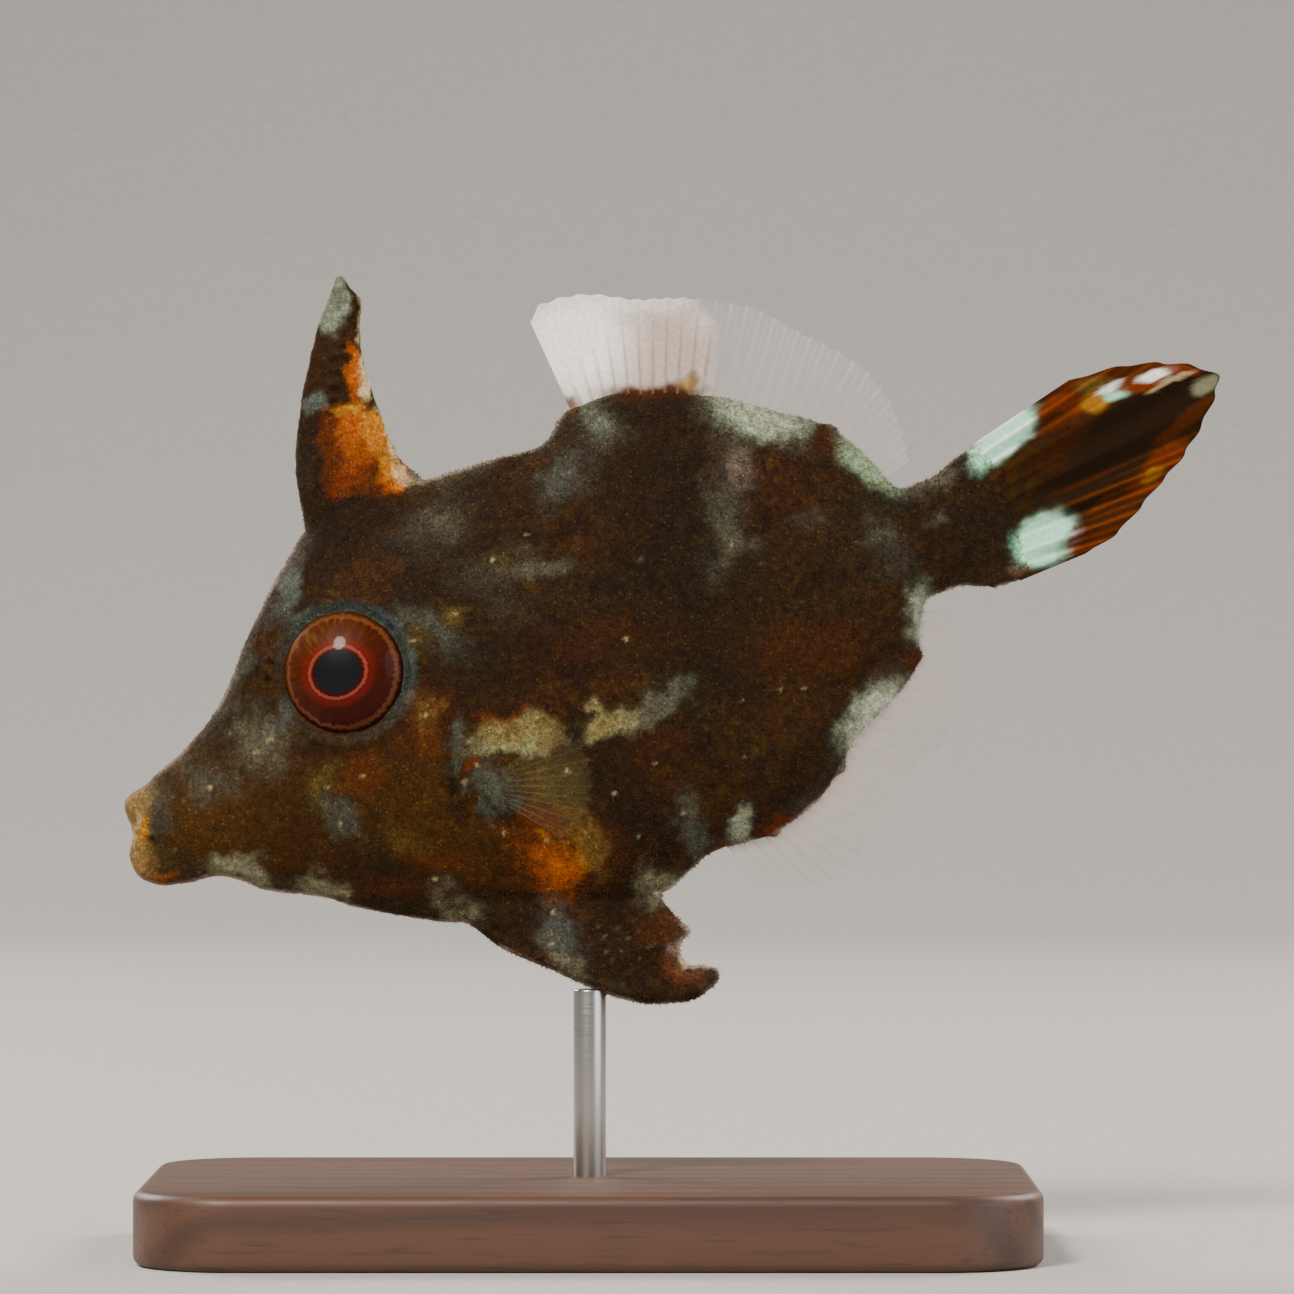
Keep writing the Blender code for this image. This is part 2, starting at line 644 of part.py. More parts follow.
def add_pectoral_fins(carrier):
    """The fan of each pectoral fin, its root cut to lie on the fleshy lobe that carries it."""
    angles = np.radians(np.linspace(PECTORAL_FAN, -PECTORAL_FAN, PECTORAL_RAYS))
    roots = [(0.0, PECTORAL_BASE_HEIGHT * math.sin(a) / math.sin(angles[0])) for a in angles]
    lengths = smooth_line(PECTORAL_LENGTHS, np.linspace(0, 1, PECTORAL_RAYS))
    tips = [(n * math.cos(a), root[1] + n * math.sin(a)) for n, a, root in zip(lengths, angles, roots)]
    x, z = PECTORAL_ROOT
    for name, side in (("pectoral_fin_left", -1), ("pectoral_fin_right", 1)):
        shape = rayed_fin(roots, tips, PECTORAL_ROWS, lambda share, reach, between: 0.0)
        turn = Matrix.Rotation(math.radians(side * PECTORAL_SPLAY), 4, "Z")
        droop = Matrix.Rotation(math.radians(PECTORAL_DROOP), 4, "Y")
        place = Matrix.Translation((x + 0.5, side * (skin_width(x, z) + 0.45), z))
        shape.transform(place @ turn @ droop)
        fin = solid(name, shape, "clear_fin", carrier)
        flesh = flesh_between(HEAD_END, TORSO_END - 15, TORSO_SIDES, GAP)
        combined(fin, [flesh, pectoral_base_shape(side, GAP)], "DIFFERENCE")
        largest_body(fin)


def add_web(carrier):
    """The web of skin from the spine down to the back."""
    front = edge_points(SPINE_REAR[: len(WEB_REAR)], WEB_ROWS + 1) + np.array([GAP + 0.1, 0])
    rear = edge_points(WEB_REAR, WEB_ROWS + 1)
    grid = []
    for fore, aft in zip(front, rear):
        row = [fore + (aft - fore) * k / (WEB_COLUMNS - 1) for k in range(WEB_COLUMNS)]
        grid.append([(x, 0.0, z) for x, z in row])
    grid = np.array(grid)
    for k in range(WEB_COLUMNS):
        grid[0, k, 2] = smooth_line(BACK_LINE, grid[0, k, 0]) + GAP
    half = np.full(grid.shape[:2], WEB_HALF)
    solid("spine_web", sheet(grid, half), "web", carrier)


def add_base():
    """The flat base, with a blind hole for the rod."""
    rings = []
    foot, top = BASE_CHAMFER / 2, BASE_HEIGHT
    for height, inset in ((0, foot), (foot, 0), (top - BASE_CHAMFER, 0), (top, BASE_CHAMFER)):
        ring = []
        for corner, (sx, sy) in enumerate(((1, 1), (-1, 1), (-1, -1), (1, -1))):
            for step in range(BASE_CORNER_STEPS + 1):
                angle = math.radians(90 * (corner + step / BASE_CORNER_STEPS))
                x = sx * (BASE_LENGTH / 2 - BASE_CORNER) + (BASE_CORNER - inset) * math.cos(angle)
                y = sy * (BASE_DEPTH / 2 - BASE_CORNER) + (BASE_CORNER - inset) * math.sin(angle)
                ring.append((x, y, height))
        rings.append(ring)
    base = solid("stand_base", mesh_through(rings), "wood")
    combined(base, [rod_shape(BASE_HEIGHT - ROD_HOLE_DEPTH, 2 * BASE_HEIGHT, GAP)], "DIFFERENCE")


def rod_shape(bottom, top, grow=0.0):
    """An upright cylinder on the axis of the stand."""
    rings = []
    for height in (bottom, top):
        turn = np.arange(ROD_SIDES) * 2 * math.pi / ROD_SIDES
        radius = ROD_RADIUS + grow
        rings.append([(radius * c, radius * s, height) for c, s in zip(np.cos(turn), np.sin(turn))])
    return mesh_through(rings)


def add_rod():
    """The rod from the hole in the base up to the flap, its top hollowed to the flap's lower edge."""
    rod = solid("stand_rod", rod_shape(BASE_HEIGHT - ROD_HOLE_DEPTH + GAP, ROD_TOP), "steel")
    flap = flap_blade(GAP)
    tilt = Matrix.Rotation(-math.radians(HEAD_DOWN), 4, "Y")
    flap.transform(Matrix.Translation(MOUTH_PLACE) @ tilt)
    combined(rod, [flap], "DIFFERENCE")
    largest_body(rod)


def main():
    clear_scene()
    carrier = fish_carrier()
    add_flesh(carrier)
    add_lips(carrier)
    add_eyes(carrier)
    add_spine(carrier)
    add_web(carrier)
    add_edge_fins(carrier)
    add_tail_fin(carrier)
    add_pectoral_fins(carrier)
    add_base()
    add_rod()


main()
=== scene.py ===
"""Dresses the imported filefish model: skin and its velvet, eyes, fins, stand, studio and camera.

The fish has its own frame, in millimetres: x runs from the mouth to the tail, y to its right side and z up
its back. It hangs head down over the stand, whose underside has its centre at the origin of the world.
Markings are placed in the pixels of the 1294 x 1294 photograph, each PIXEL millimetres wide.
"""
import math

import bpy
import numpy as np
from mathutils import Matrix, Vector, noise


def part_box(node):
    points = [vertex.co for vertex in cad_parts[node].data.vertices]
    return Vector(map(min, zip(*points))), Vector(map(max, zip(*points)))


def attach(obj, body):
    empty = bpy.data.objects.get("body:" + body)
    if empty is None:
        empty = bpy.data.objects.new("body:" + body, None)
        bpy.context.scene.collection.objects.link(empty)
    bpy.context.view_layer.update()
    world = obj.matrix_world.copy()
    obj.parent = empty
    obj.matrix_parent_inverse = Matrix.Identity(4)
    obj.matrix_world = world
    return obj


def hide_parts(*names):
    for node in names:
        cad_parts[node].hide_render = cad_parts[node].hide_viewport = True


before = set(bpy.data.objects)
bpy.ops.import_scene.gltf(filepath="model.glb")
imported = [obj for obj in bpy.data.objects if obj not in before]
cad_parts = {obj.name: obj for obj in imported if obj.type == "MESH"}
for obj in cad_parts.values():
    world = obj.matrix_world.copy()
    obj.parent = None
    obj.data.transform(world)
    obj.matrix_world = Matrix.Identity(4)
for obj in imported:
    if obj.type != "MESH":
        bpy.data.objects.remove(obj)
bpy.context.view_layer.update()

MM = 0.001
HEAD_DOWN = math.radians(20.0)
MOUTH_PLACE = (-30.7, 0.0, 27.8)
PIXEL = 0.0675
PHOTO_ORIGIN = (589.8, 1250.0)
PHOTO_MIDDLE = (647.0, 647.0)
PHOTO_WIDTH = 1294

# The flesh, as in the solids: (distance from the mouth, height) or (distance, half width)
BACK_LINE = (
    (1.6, 3.1), (2.5, 3.5), (5.5, 4.75), (8.5, 6.7), (11.5, 10.0), (16.0, 14.2), (18.5, 15.9), (22.0, 16.2),
    (31.0, 15.9), (34.8, 15.6), (37.3, 17.3), (39.5, 17.4), (43.0, 16.5), (46.0, 15.3), (50.5, 12.5),
    (53.6, 10.2), (55.3, 7.5), (56.6, 4.6), (58.5, 4.6), (61.0, 5.4), (62.4, 5.7), (63.2, 5.6),
)
BELLY_LINE = (
    (1.6, -3.95), (2.5, -4.2), (4.0, -4.3), (5.5, -5.1), (7.0, -6.4), (10.0, -7.9), (13.0, -10.0),
    (19.0, -13.1), (23.0, -14.1), (28.0, -15.3), (32.2, -15.7), (36.8, -14.3), (40.0, -14.6), (43.0, -14.0),
    (46.0, -12.4), (48.0, -10.5), (50.5, -9.3), (53.8, -7.1), (54.8, -4.6), (56.2, -3.1), (58.0, -3.2),
    (61.0, -4.2), (62.4, -4.2), (63.2, -4.0),
)
SIDE_LINE = ((1.6, -0.3), (8.0, 0.4), (17.0, 3.6), (26.0, 1.0), (36.0, 0.6), (50.0, 0.9), (62.4, 0.7))
HALF_WIDTH = (
    (1.6, 1.62), (2.3, 1.85), (5.0, 2.3), (10.0, 3.2), (17.0, 4.4), (24.0, 5.2), (31.0, 5.0), (38.0, 4.2),
    (46.0, 3.0), (54.0, 1.9), (58.0, 1.6), (61.4, 1.0), (62.5, 0.6), (63.2, 0.27),
)
LENS_POWER = ((1.6, 0.8), (9.0, 1.05), (20.0, 1.25), (62.4, 1.25))
FLESH_ENDS = (1.3, 63.2)
FLESH_RINGS = 220
FLESH_SIDES = 140
FLAP_ROWS = 70
FLAP_COLUMNS = 21
LIP_ROWS = 26
LIP_SIDES = 48
VOXEL = 0.2
COAT_DEPTH = 0.12
# The coat: sizes in millimetres, and the corners of one prickle on its unwrapped map
PRICKLES = 45000
PRICKLE_LENGTH = 0.2
PRICKLE_WIDTH = 0.035
PRICKLE_SIZES = (0.6, 1.25)
PRICKLE_SUNK = 0.05
PRICKLE_LEAN = 0.55
PRICKLE_STRAY = 0.33
BAKE_PATCH = ((-0.0013, -0.001), (0.0013, -0.001), (0.0, 0.0015), (0.0, 0.0))

# Swellings and hollows: (distance, height, spread along, spread up, rise)
SWELLINGS = (
    (18.2, 11.6, 4.0, 1.1, 0.35), (12.5, -1.0, 4.0, 3.0, 0.3), (19.0, -4.0, 2.4, 4.0, 0.35),
    (11.6, 7.0, 1.8, 1.0, -0.25), (27.0, -4.5, 3.0, 5.0, 0.3),
)
# Each ring of a lip: (distance, top, bottom, half width)
UPPER_LIP = (
    (2.4, 3.3, -0.9, 1.7), (1.45, 3.14, -0.7, 1.8), (0.95, 3.07, -0.5, 1.75), (0.5, 2.9, -0.02, 1.6),
    (0.2, 2.7, 0.3, 1.35), (0.02, 2.45, 0.85, 0.95), (-0.07, 2.2, 1.4, 0.5),
)
LOWER_LIP = (
    (2.4, -0.9, -4.15, 1.7), (1.45, -0.72, -3.97, 1.8), (0.8, -0.35, -3.8, 1.8), (0.2, 0.38, -3.5, 1.7),
    (-0.1, 0.1, -3.2, 1.6), (-0.4, -0.25, -2.95, 1.4), (-0.68, -0.6, -2.55, 1.1), (-0.9, -1.0, -2.05, 0.65),
)
MOUTH_SEAM = (
    (2.4, 0.9, -0.9, 1.6), (0.9, 0.95, -0.75, 1.55), (0.4, 0.9, -0.5, 1.4), (0.12, 0.75, -0.25, 1.15),
    (-0.06, 0.55, 0.0, 0.8),
)
MOUTH_LINE = ((0.3, 0.2), (0.7, -0.3), (1.1, -0.62))
LIP_POWER = 0.62
EYE_MIDDLE = (17.3, 3.25, 5.6)
EYE_TURN = (8.0, 6.0)
EYE_RADIUS = 4.25
EYE_DEPTH = 2.1
CORNEA_RISE = 0.25
LID_EDGE = 4.1
LID_WIDTH = 0.75
LID_RISE = 0.2
LID_ROUND = 0.42
LID_SINK = 0.45
LID_SINK_WIDTH = 0.4
LID_CONTACT = 0.3
LID_REACH = 3
EYE_BACK = -1.6
EYE_CURVE = 0.62 * math.pi
EYE_ROWS = 40
EYE_TURNS = 96
CORNEA_SPREAD = 0.6
# Creases of the skin: a groove (depth, half width, floor) and the fold beside it (rise, place, width)
SLIT_CREASE = ((0.28, 0.4, 0.08), (0.12, 0.62, 0.28))
MOUTH_CREASE = ((0.12, 0.28, 0.04), (0.06, 0.5, 0.2))
NOSTRIL_CREASE = ((0.4, 0.34, 0.08), (0.14, 0.44, 0.16))
# Bumps at flecks and teeth: (rise in millimetres, spread in pixels)
FLECK_BUMP = (0.1, 3.2)
TOOTH_BUMP = (0.3, 7.5)
# The velvet's coarse and fine roughness, in millimetres
ROUGHNESS = (0.07, 0.05)
GILL_SLIT = ((22.5, 0.4), (22.3, -1.0), (22.0, -2.6), (21.4, -4.6))
NOSTRILS = ((12.2, 6.9), (12.75, 7.9))
PECTORAL_ROOT = (24.3, -5.1)
PECTORAL_BASE = (1.1, 0.9, 1.9)

SPINE_FRONT = ((17.9, 16.2), (18.4, 19.2), (19.9, 22.8), (21.6, 25.8), (23.6, 28.7), (25.3, 30.6))
SPINE_REAR = ((20.5, 16.4), (21.2, 19.2), (22.3, 22.0), (23.6, 24.7), (25.0, 27.4), (26.5, 29.7))
SPINE_TIP = (25.95, 31.1)
SPINE_HALF_WIDTH = (0.95, 0.45)
SPINE_ROOT_DEPTH = 1.2
SPINE_TIP_SIZE = (0.36, 0.2)
SPINE_ROWS = 44
SPINE_SIDES = 28
BARBS = 9
BARB_SPAN = (0.45, 0.95)
BARB_RADIUS = 0.22
BARB_INSET = 0.3
WEB_REAR = ((26.4, 16.0), (25.3, 18.6), (25.15, 22.3), (25.45, 25.8), (26.75, 29.3))

FLAP_FRONT = (
    (-12.0, 18.2), (-13.4, 19.2), (-15.4, 20.6), (-18.3, 23.5), (-21.0, 26.4), (-22.6, 29.0), (-23.2, 31.0),
)
FLAP_REAR = (
    (-12.0, 31.2), (-16.4, 32.2), (-17.6, 32.7), (-18.8, 33.2), (-19.3, 32.3), (-20.0, 32.0), (-20.7, 32.2),
    (-21.1, 33.3), (-21.8, 34.1), (-22.6, 33.8), (-23.2, 32.4),
)
FLAP_HALF_WIDTH = ((-12.0, 1.7), (-16.0, 1.6), (-20.0, 1.45), (-22.6, 1.1), (-23.2, 0.6))
FLAP_FULLNESS = ((0.0, 0.12), (0.05, 0.6), (0.2, 1.0), (0.45, 0.95), (0.75, 0.6), (1.0, 0.25))

# The fins
DORSAL_SPAN = (37.5, 56.0)
DORSAL_RAYS = 29
DORSAL_LENGTHS = (
    (0.0, 6.0), (0.04, 6.9), (0.1, 6.7), (0.22, 5.9), (0.35, 6.0), (0.46, 6.0), (0.6, 5.2), (0.8, 3.9),
    (1.0, 1.6),
)
DORSAL_LEAN = ((0.0, -2.0), (1.0, 8.0))
ANAL_SPAN = (37.2, 55.3)
ANAL_RAYS = 26
ANAL_LENGTHS = ((0.0, 3.2), (0.15, 4.6), (0.55, 4.5), (0.85, 3.0), (1.0, 1.4))
ANAL_LEAN = ((0.0, 30.0), (1.0, 12.0))
WAVE_SWING = 0.5
WAVES = 2.3
CAUDAL_START = 62.1
CAUDAL_ROOT = (5.6, -4.1)
CAUDAL_TIPS = (
    (69.8, 7.5), (72.9, 7.3), (75.6, 6.7), (77.7, 5.8), (79.5, 4.3), (78.6, 2.9), (76.9, 1.2), (75.2, -0.1),
    (73.3, -1.2), (71.2, -2.4), (69.0, -3.5), (66.8, -3.9),
)
CAUDAL_PLEAT = 0.22
PECTORAL_BASE_HEIGHT = 1.5
PECTORAL_RAYS = 11
PECTORAL_FAN = 26.0
PECTORAL_LENGTHS = ((0.0, 5.2), (0.35, 6.7), (0.65, 6.4), (1.0, 4.6))
PECTORAL_SPLAY = 24.0
PECTORAL_DROOP = 18.0
COLUMNS_PER_RAY = 8
FIN_SUNK = 0.8
FORK_SPAN = (0.45, 0.75)
MEMBRANE_HALF = 0.07
RAY_HALF = 0.17

# Pigments of the fish, as sRGB
PIGMENTS = dict(
    umber="1f1309", bark="361806", brown="291807", olive="3e2606", maroon="38100a", russet="421e06",
    rust="582606", ember="6a2a06", copper="843f06", orange="9e4c04", amber="a2701a", gold="685224",
    khaki="4c4018", ivory="7a7650", cream="c4b080", tan="8a6c40", ash="4c4a3a", bone="8a8a6c", moss="38352a",
    slate="40443a", ring="364846", frost="b4bca6", teal="48504a", sage="6a7262", mint="868f78",
    # rim is the pale pink-grey painted along the outline as the velvet's glow; the anal fin is tinted with it
    # too
    leek="778969", aqua="a4e4c0", rim="b09c8c", rose="c4a898", white="fdf8f2", milk="e8dcd2", snow="f4fff8",
)

# The stand and the studio
BASE_CORNER = 7.0
BASE_EDGE = 0.7
ROD_RADIUS = 1.1
ROD_EDGE = 0.12
BEVEL_ANGLE = math.radians(60)
SMOOTH_ANGLE = math.radians(40)
# The sweep of paper, in metres: half its width, where it starts, bends and ends
PAPER_HALF, PAPER_FRONT, PAPER_BEND, PAPER_ROUND, PAPER_TOP = 1.8, -1.2, 0.55, 0.35, 1.6
# Soft round lamps: (name, place, size, power, colour), all aimed at one place
LAMPS = (
    ("front_lamp", (-0.24, -0.46, 0.5), 0.18, 7.4, "fff6ea"),
    ("fill_lamp", (0.95, -0.55, 0.25), 0.9, 6.5, "f6f7ff"),
    ("back_lamp_left", (-0.45, 0.4, 0.35), 0.3, 4.5, "fff2ec"),
    ("back_lamp_right", (0.45, 0.35, 0.4), 0.3, 4.5, "fff2ec"),
)
LAMP_AIM = (0.0, 0.0, 0.04)
CAMERA_AWAY = 0.5
SENSOR = 36.0

# Markings: (pigment, x, y, half length, half height, turn in degrees, strength), each over those before it.
# The cloudy ones first, then the ones with clear edges.
HEAD_CLOUDS = (
    ("olive", 215, 815, 120, 70, 20, 1), ("olive", 390, 810, 100, 80, 0, 0.8),
    ("brown", 290, 820, 60, 45, 0, 0.5), ("umber", 340, 530, 46, 30, 0, 0.95),
    ("umber", 308, 566, 34, 30, 0, 0.8), ("umber", 420, 585, 62, 22, -38, 0.8),
    ("umber", 384, 868, 42, 24, 0, 0.8), ("umber", 281, 880, 34, 14, 10, 0.8),
    ("umber", 470, 690, 60, 40, 0, 0.5), ("ash", 264, 738, 32, 27, 20, 0.95),
    ("teal", 285, 716, 14, 16, 0, 0.6), ("slate", 206, 778, 24, 20, 0, 0.6),
    ("teal", 289, 588, 12, 28, 22, 0.95), ("teal", 292, 612, 16, 14, 0, 0.8),
    ("slate", 240, 672, 9, 24, 30, 0.7), ("bone", 240, 873, 26, 14, 10, 0.95),
    ("bone", 326, 888, 24, 14, 0, 0.8), ("ash", 466, 905, 30, 16, 20, 0.8),
    ("khaki", 330, 786, 14, 24, 10, 0.8), ("slate", 342, 818, 16, 18, 0, 0.8),
    ("rust", 365, 774, 12, 26, 5, 0.6), ("rust", 428, 725, 20, 34, 5, 0.75),
    ("gold", 428, 714, 9, 16, 5, 0.5), ("khaki", 415, 838, 26, 14, 25, 0.75),
    ("rust", 450, 862, 44, 16, 12, 0.65), ("russet", 388, 886, 44, 10, 10, 0.7),
)
BACK_CLOUDS = (
    ("olive", 420, 470, 60, 30, 0, 0.6), ("moss", 436, 526, 42, 24, -38, 0.95),
    ("ash", 447, 524, 14, 10, 0, 0.4), ("moss", 560, 480, 36, 24, -45, 0.95),
    ("teal", 566, 478, 22, 14, -45, 0.5), ("umber", 500, 500, 40, 26, 0, 0.6),
    ("ash", 512, 570, 46, 16, -4, 0.85), ("khaki", 496, 560, 16, 12, 0, 0.7),
    ("ash", 540, 565, 22, 12, 0, 0.6), ("moss", 500, 600, 60, 12, 28, 0.6),
    ("slate", 436, 630, 42, 13, 33, 0.9), ("khaki", 456, 614, 13, 12, 0, 0.95),
    ("khaki", 416, 641, 12, 9, 0, 0.8), ("sage", 598, 419, 26, 24, 0, 0.9),
    ("brown", 655, 430, 50, 30, 0, 0.6), ("umber", 650, 500, 66, 86, 0, 0.8),
    ("umber", 470, 560, 90, 24, -20, 0.6), ("moss", 744, 440, 28, 16, 16, 0.7),
    ("moss", 732, 470, 22, 44, 0, 0.9), ("rose", 738, 466, 15, 18, 0, 0.14),
    ("slate", 728, 511, 18, 22, 0, 0.7), ("ash", 731, 548, 20, 22, 0, 0.85),
    ("moss", 716, 578, 18, 16, 0, 0.9), ("maroon", 785, 500, 50, 40, 0, 0.35),
    ("ash", 812, 520, 16, 12, 0, 0.5), ("sage", 878, 532, 18, 20, 0, 0.5),
    ("teal", 892, 566, 18, 18, 0, 0.45), ("umber", 800, 800, 46, 34, -35, 0.85),
    ("umber", 530, 650, 90, 30, -8, 0.6), ("umber", 710, 640, 56, 50, 0, 0.8),
    ("russet", 600, 640, 70, 26, -10, 0.5), ("olive", 800, 640, 70, 60, 0, 0.4),
    ("umber", 960, 520, 60, 60, 0, 0.6), ("russet", 640, 745, 80, 18, -12, 0.5),
    ("russet", 825, 650, 64, 26, 0, 0.6),
)
BELLY_CLOUDS = (
    ("olive", 520, 800, 110, 80, 10, 0.8), ("khaki", 560, 790, 40, 24, 25, 0.8),
    ("rust", 535, 824, 36, 26, 20, 0.7), ("umber", 608, 770, 36, 44, 0, 0.9),
    ("umber", 640, 820, 34, 46, 0, 0.85), ("russet", 680, 762, 50, 26, 0, 0.4),
    ("rust", 566, 855, 46, 40, 20, 0.9), ("gold", 584, 836, 18, 26, -20, 0.7),
    ("gold", 600, 862, 12, 20, -15, 0.65), ("copper", 556, 872, 32, 22, 10, 0.8),
    ("orange", 559, 874, 18, 14, 20, 0.8), ("amber", 580, 858, 8, 16, -30, 0.5),
    ("amber", 546, 838, 14, 6, 30, 0.6), ("ash", 688, 808, 15, 20, -20, 0.85),
    ("slate", 702, 842, 13, 28, -25, 0.9), ("bone", 657, 890, 22, 18, -35, 0.8),
    ("teal", 558, 938, 19, 36, -12, 1), ("ash", 553, 942, 9, 18, 0, 0.7),
    ("bone", 460, 911, 24, 12, 22, 0.6), ("bone", 566, 968, 22, 9, 30, 0.6),
    ("umber", 511, 922, 34, 24, 20, 0.85), ("rust", 532, 956, 26, 7, 28, 0.6),
    ("brown", 640, 960, 60, 34, 10, 0.8), ("umber", 613, 903, 32, 24, 0, 0.8),
    ("russet", 670, 928, 30, 14, 0, 0.85), ("rust", 682, 966, 20, 16, 20, 0.9),
    ("rust", 600, 986, 30, 7, 20, 0.6), ("ash", 930, 480, 24, 10, -30, 0.8), ("ash", 938, 513, 8, 8, 0, 0.7),
)
BARS = (
    ("rust", 507, 712, 34, 8, -12, 0.8), ("gold", 504, 716, 18, 5, -10, 0.5),
    ("ivory", 517, 737, 49, 18, -6, 1), ("moss", 476, 742, 13, 12, -20, 0.6),
    ("gold", 505, 728, 36, 11, -8, 0.6), ("gold", 552, 728, 16, 18, 0, 0.6),
    ("ivory", 612, 722, 34, 18, -14, 1), ("gold", 605, 722, 22, 12, -14, 0.6),
    ("ash", 662, 701, 32, 20, -28, 1), ("slate", 674, 694, 18, 14, -28, 0.6),
    ("umber", 573, 722, 4, 24, 0, 1), ("slate", 454, 748, 9, 27, -5, 0.9),
    ("slate", 494, 792, 15, 27, -36, 0.95), ("moss", 492, 764, 10, 12, 0, 0.7),
    ("rust", 477, 762, 9, 8, 0, 0.9), ("ash", 466, 781, 6, 6, 0, 0.9), ("umber", 454, 790, 10, 22, -10, 0.6),
)
EDGE_MARKS = (
    ("mint", 759, 415, 60, 22, 16, 1), ("brown", 818, 456, 24, 16, 20, 0.95),
    ("umber", 655, 406, 52, 13, 0, 1), ("bark", 655, 394, 48, 4, 1, 1), ("rust", 572, 408, 11, 6, 0, 0.9),
    ("leek", 871, 465, 42, 20, 44, 1), ("brown", 826, 446, 17, 14, 40, 0.9),
    ("bark", 829, 437, 17, 10, 35, 1), ("mint", 921, 616, 17, 35, -6, 1), ("mint", 871, 714, 51, 21, -50, 1),
    ("frost", 878, 722, 40, 14, -50, 1), ("brown", 894, 662, 32, 17, -20, 0.9),
    ("russet", 916, 659, 16, 10, -24, 1), ("ember", 822, 806, 26, 5, -44, 0.7),
    ("mint", 741, 824, 14, 19, 28, 1), ("ember", 721, 846, 9, 7, -20, 0.95),
    ("ember", 776, 826, 16, 6, -20, 0.85), ("cream", 683, 955, 4, 12, 0, 0.8),
    ("rose", 674, 948, 9, 9, 0, 0.5),
)
LIP_MARKS = (
    ("tan", 132, 832, 15, 60, 0, 0.7), ("ash", 156, 806, 16, 24, 20, 0.75),
    ("khaki", 156, 858, 16, 18, -20, 0.7), ("moss", 164, 826, 14, 14, -10, 0.8),
    ("tan", 136, 803, 17, 22, 15, 0.65), ("tan", 139, 862, 16, 24, -32, 0.75),
    ("rust", 157, 866, 4, 15, -32, 0.6), ("gold", 145, 820, 9, 15, -10, 0.7),
    ("amber", 144, 834, 6, 11, 8, 1), ("rust", 152, 841, 4, 3, 0, 0.9), ("gold", 146, 851, 10, 9, 0, 0.6),
    ("copper", 163, 876, 12, 4, 12, 0.5), ("orange", 172, 877, 10, 3, 0, 0.5),
    ("cream", 136, 832, 3, 13, 8, 0.6),
)
SPINE_MARKS = (
    ("brown", 330, 400, 60, 130, 0, 1), ("umber", 310, 500, 24, 44, 0, 0.8),
    ("ash", 302, 460, 10, 26, 0, 0.4), ("sage", 335, 303, 15, 32, 12, 1),
    ("slate", 334, 296, 9, 18, 12, 0.5), ("brown", 355, 300, 8, 28, -4, 1), ("bone", 339, 277, 7, 6, 0, 0.7),
    ("brown", 330, 366, 24, 32, 8, 1), ("orange", 356, 372, 7, 28, -8, 0.9),
    ("teal", 315, 407, 14, 11, 0, 1), ("orange", 353, 424, 18, 18, -20, 0.9),
    ("copper", 350, 450, 26, 24, -25, 0.9), ("rust", 334, 446, 11, 36, -12, 0.9),
    ("ember", 344, 480, 24, 16, -5, 0.9), ("rust", 372, 476, 22, 20, -35, 0.7),
    ("russet", 368, 492, 26, 8, 8, 0.8), ("orange", 378, 440, 10, 40, -26, 0.8),
    ("amber", 376, 436, 8, 34, -24, 0.5), ("amber", 351, 411, 17, 4, -16, 0.75),
    ("orange", 396, 474, 16, 14, -40, 0.9), ("amber", 392, 468, 8, 16, -38, 0.6),
    ("cream", 364, 376, 3.5, 21, -9, 0.95), ("cream", 387, 436, 3, 28, -24, 0.8),
    ("cream", 406, 474, 5, 15, -48, 0.6), ("cream", 361, 318, 2.5, 24, -3, 0.4),
    ("umber", 350, 510, 44, 9, 4, 0.9), ("russet", 331, 458, 9, 36, 8, 0.6),
    ("umber", 311, 456, 12, 42, 8, 0.9),
)
ROOT_MARKS = (
    ("aqua", 1000, 441, 42, 18, -42, 1), ("aqua", 1045, 541, 38, 25, -35, 1),
    ("rust", 1023, 570, 18, 8, -10, 0.8),
)
FLECKS = (
    (258, 752), (272, 738), (212, 787), (330, 787), (343, 822), (350, 895), (553, 912), (551, 943),
    (655, 893), (780, 690), (803, 688), (457, 614), (416, 641), (494, 560), (568, 770), (614, 793),
    (638, 835), (656, 761), (684, 812), (505, 832), (436, 878), (626, 640), (548, 840), (742, 700),
    (471, 741), (478, 764), (731, 546), (744, 756), (527, 536), (466, 781), (365, 776), (428, 714),
)
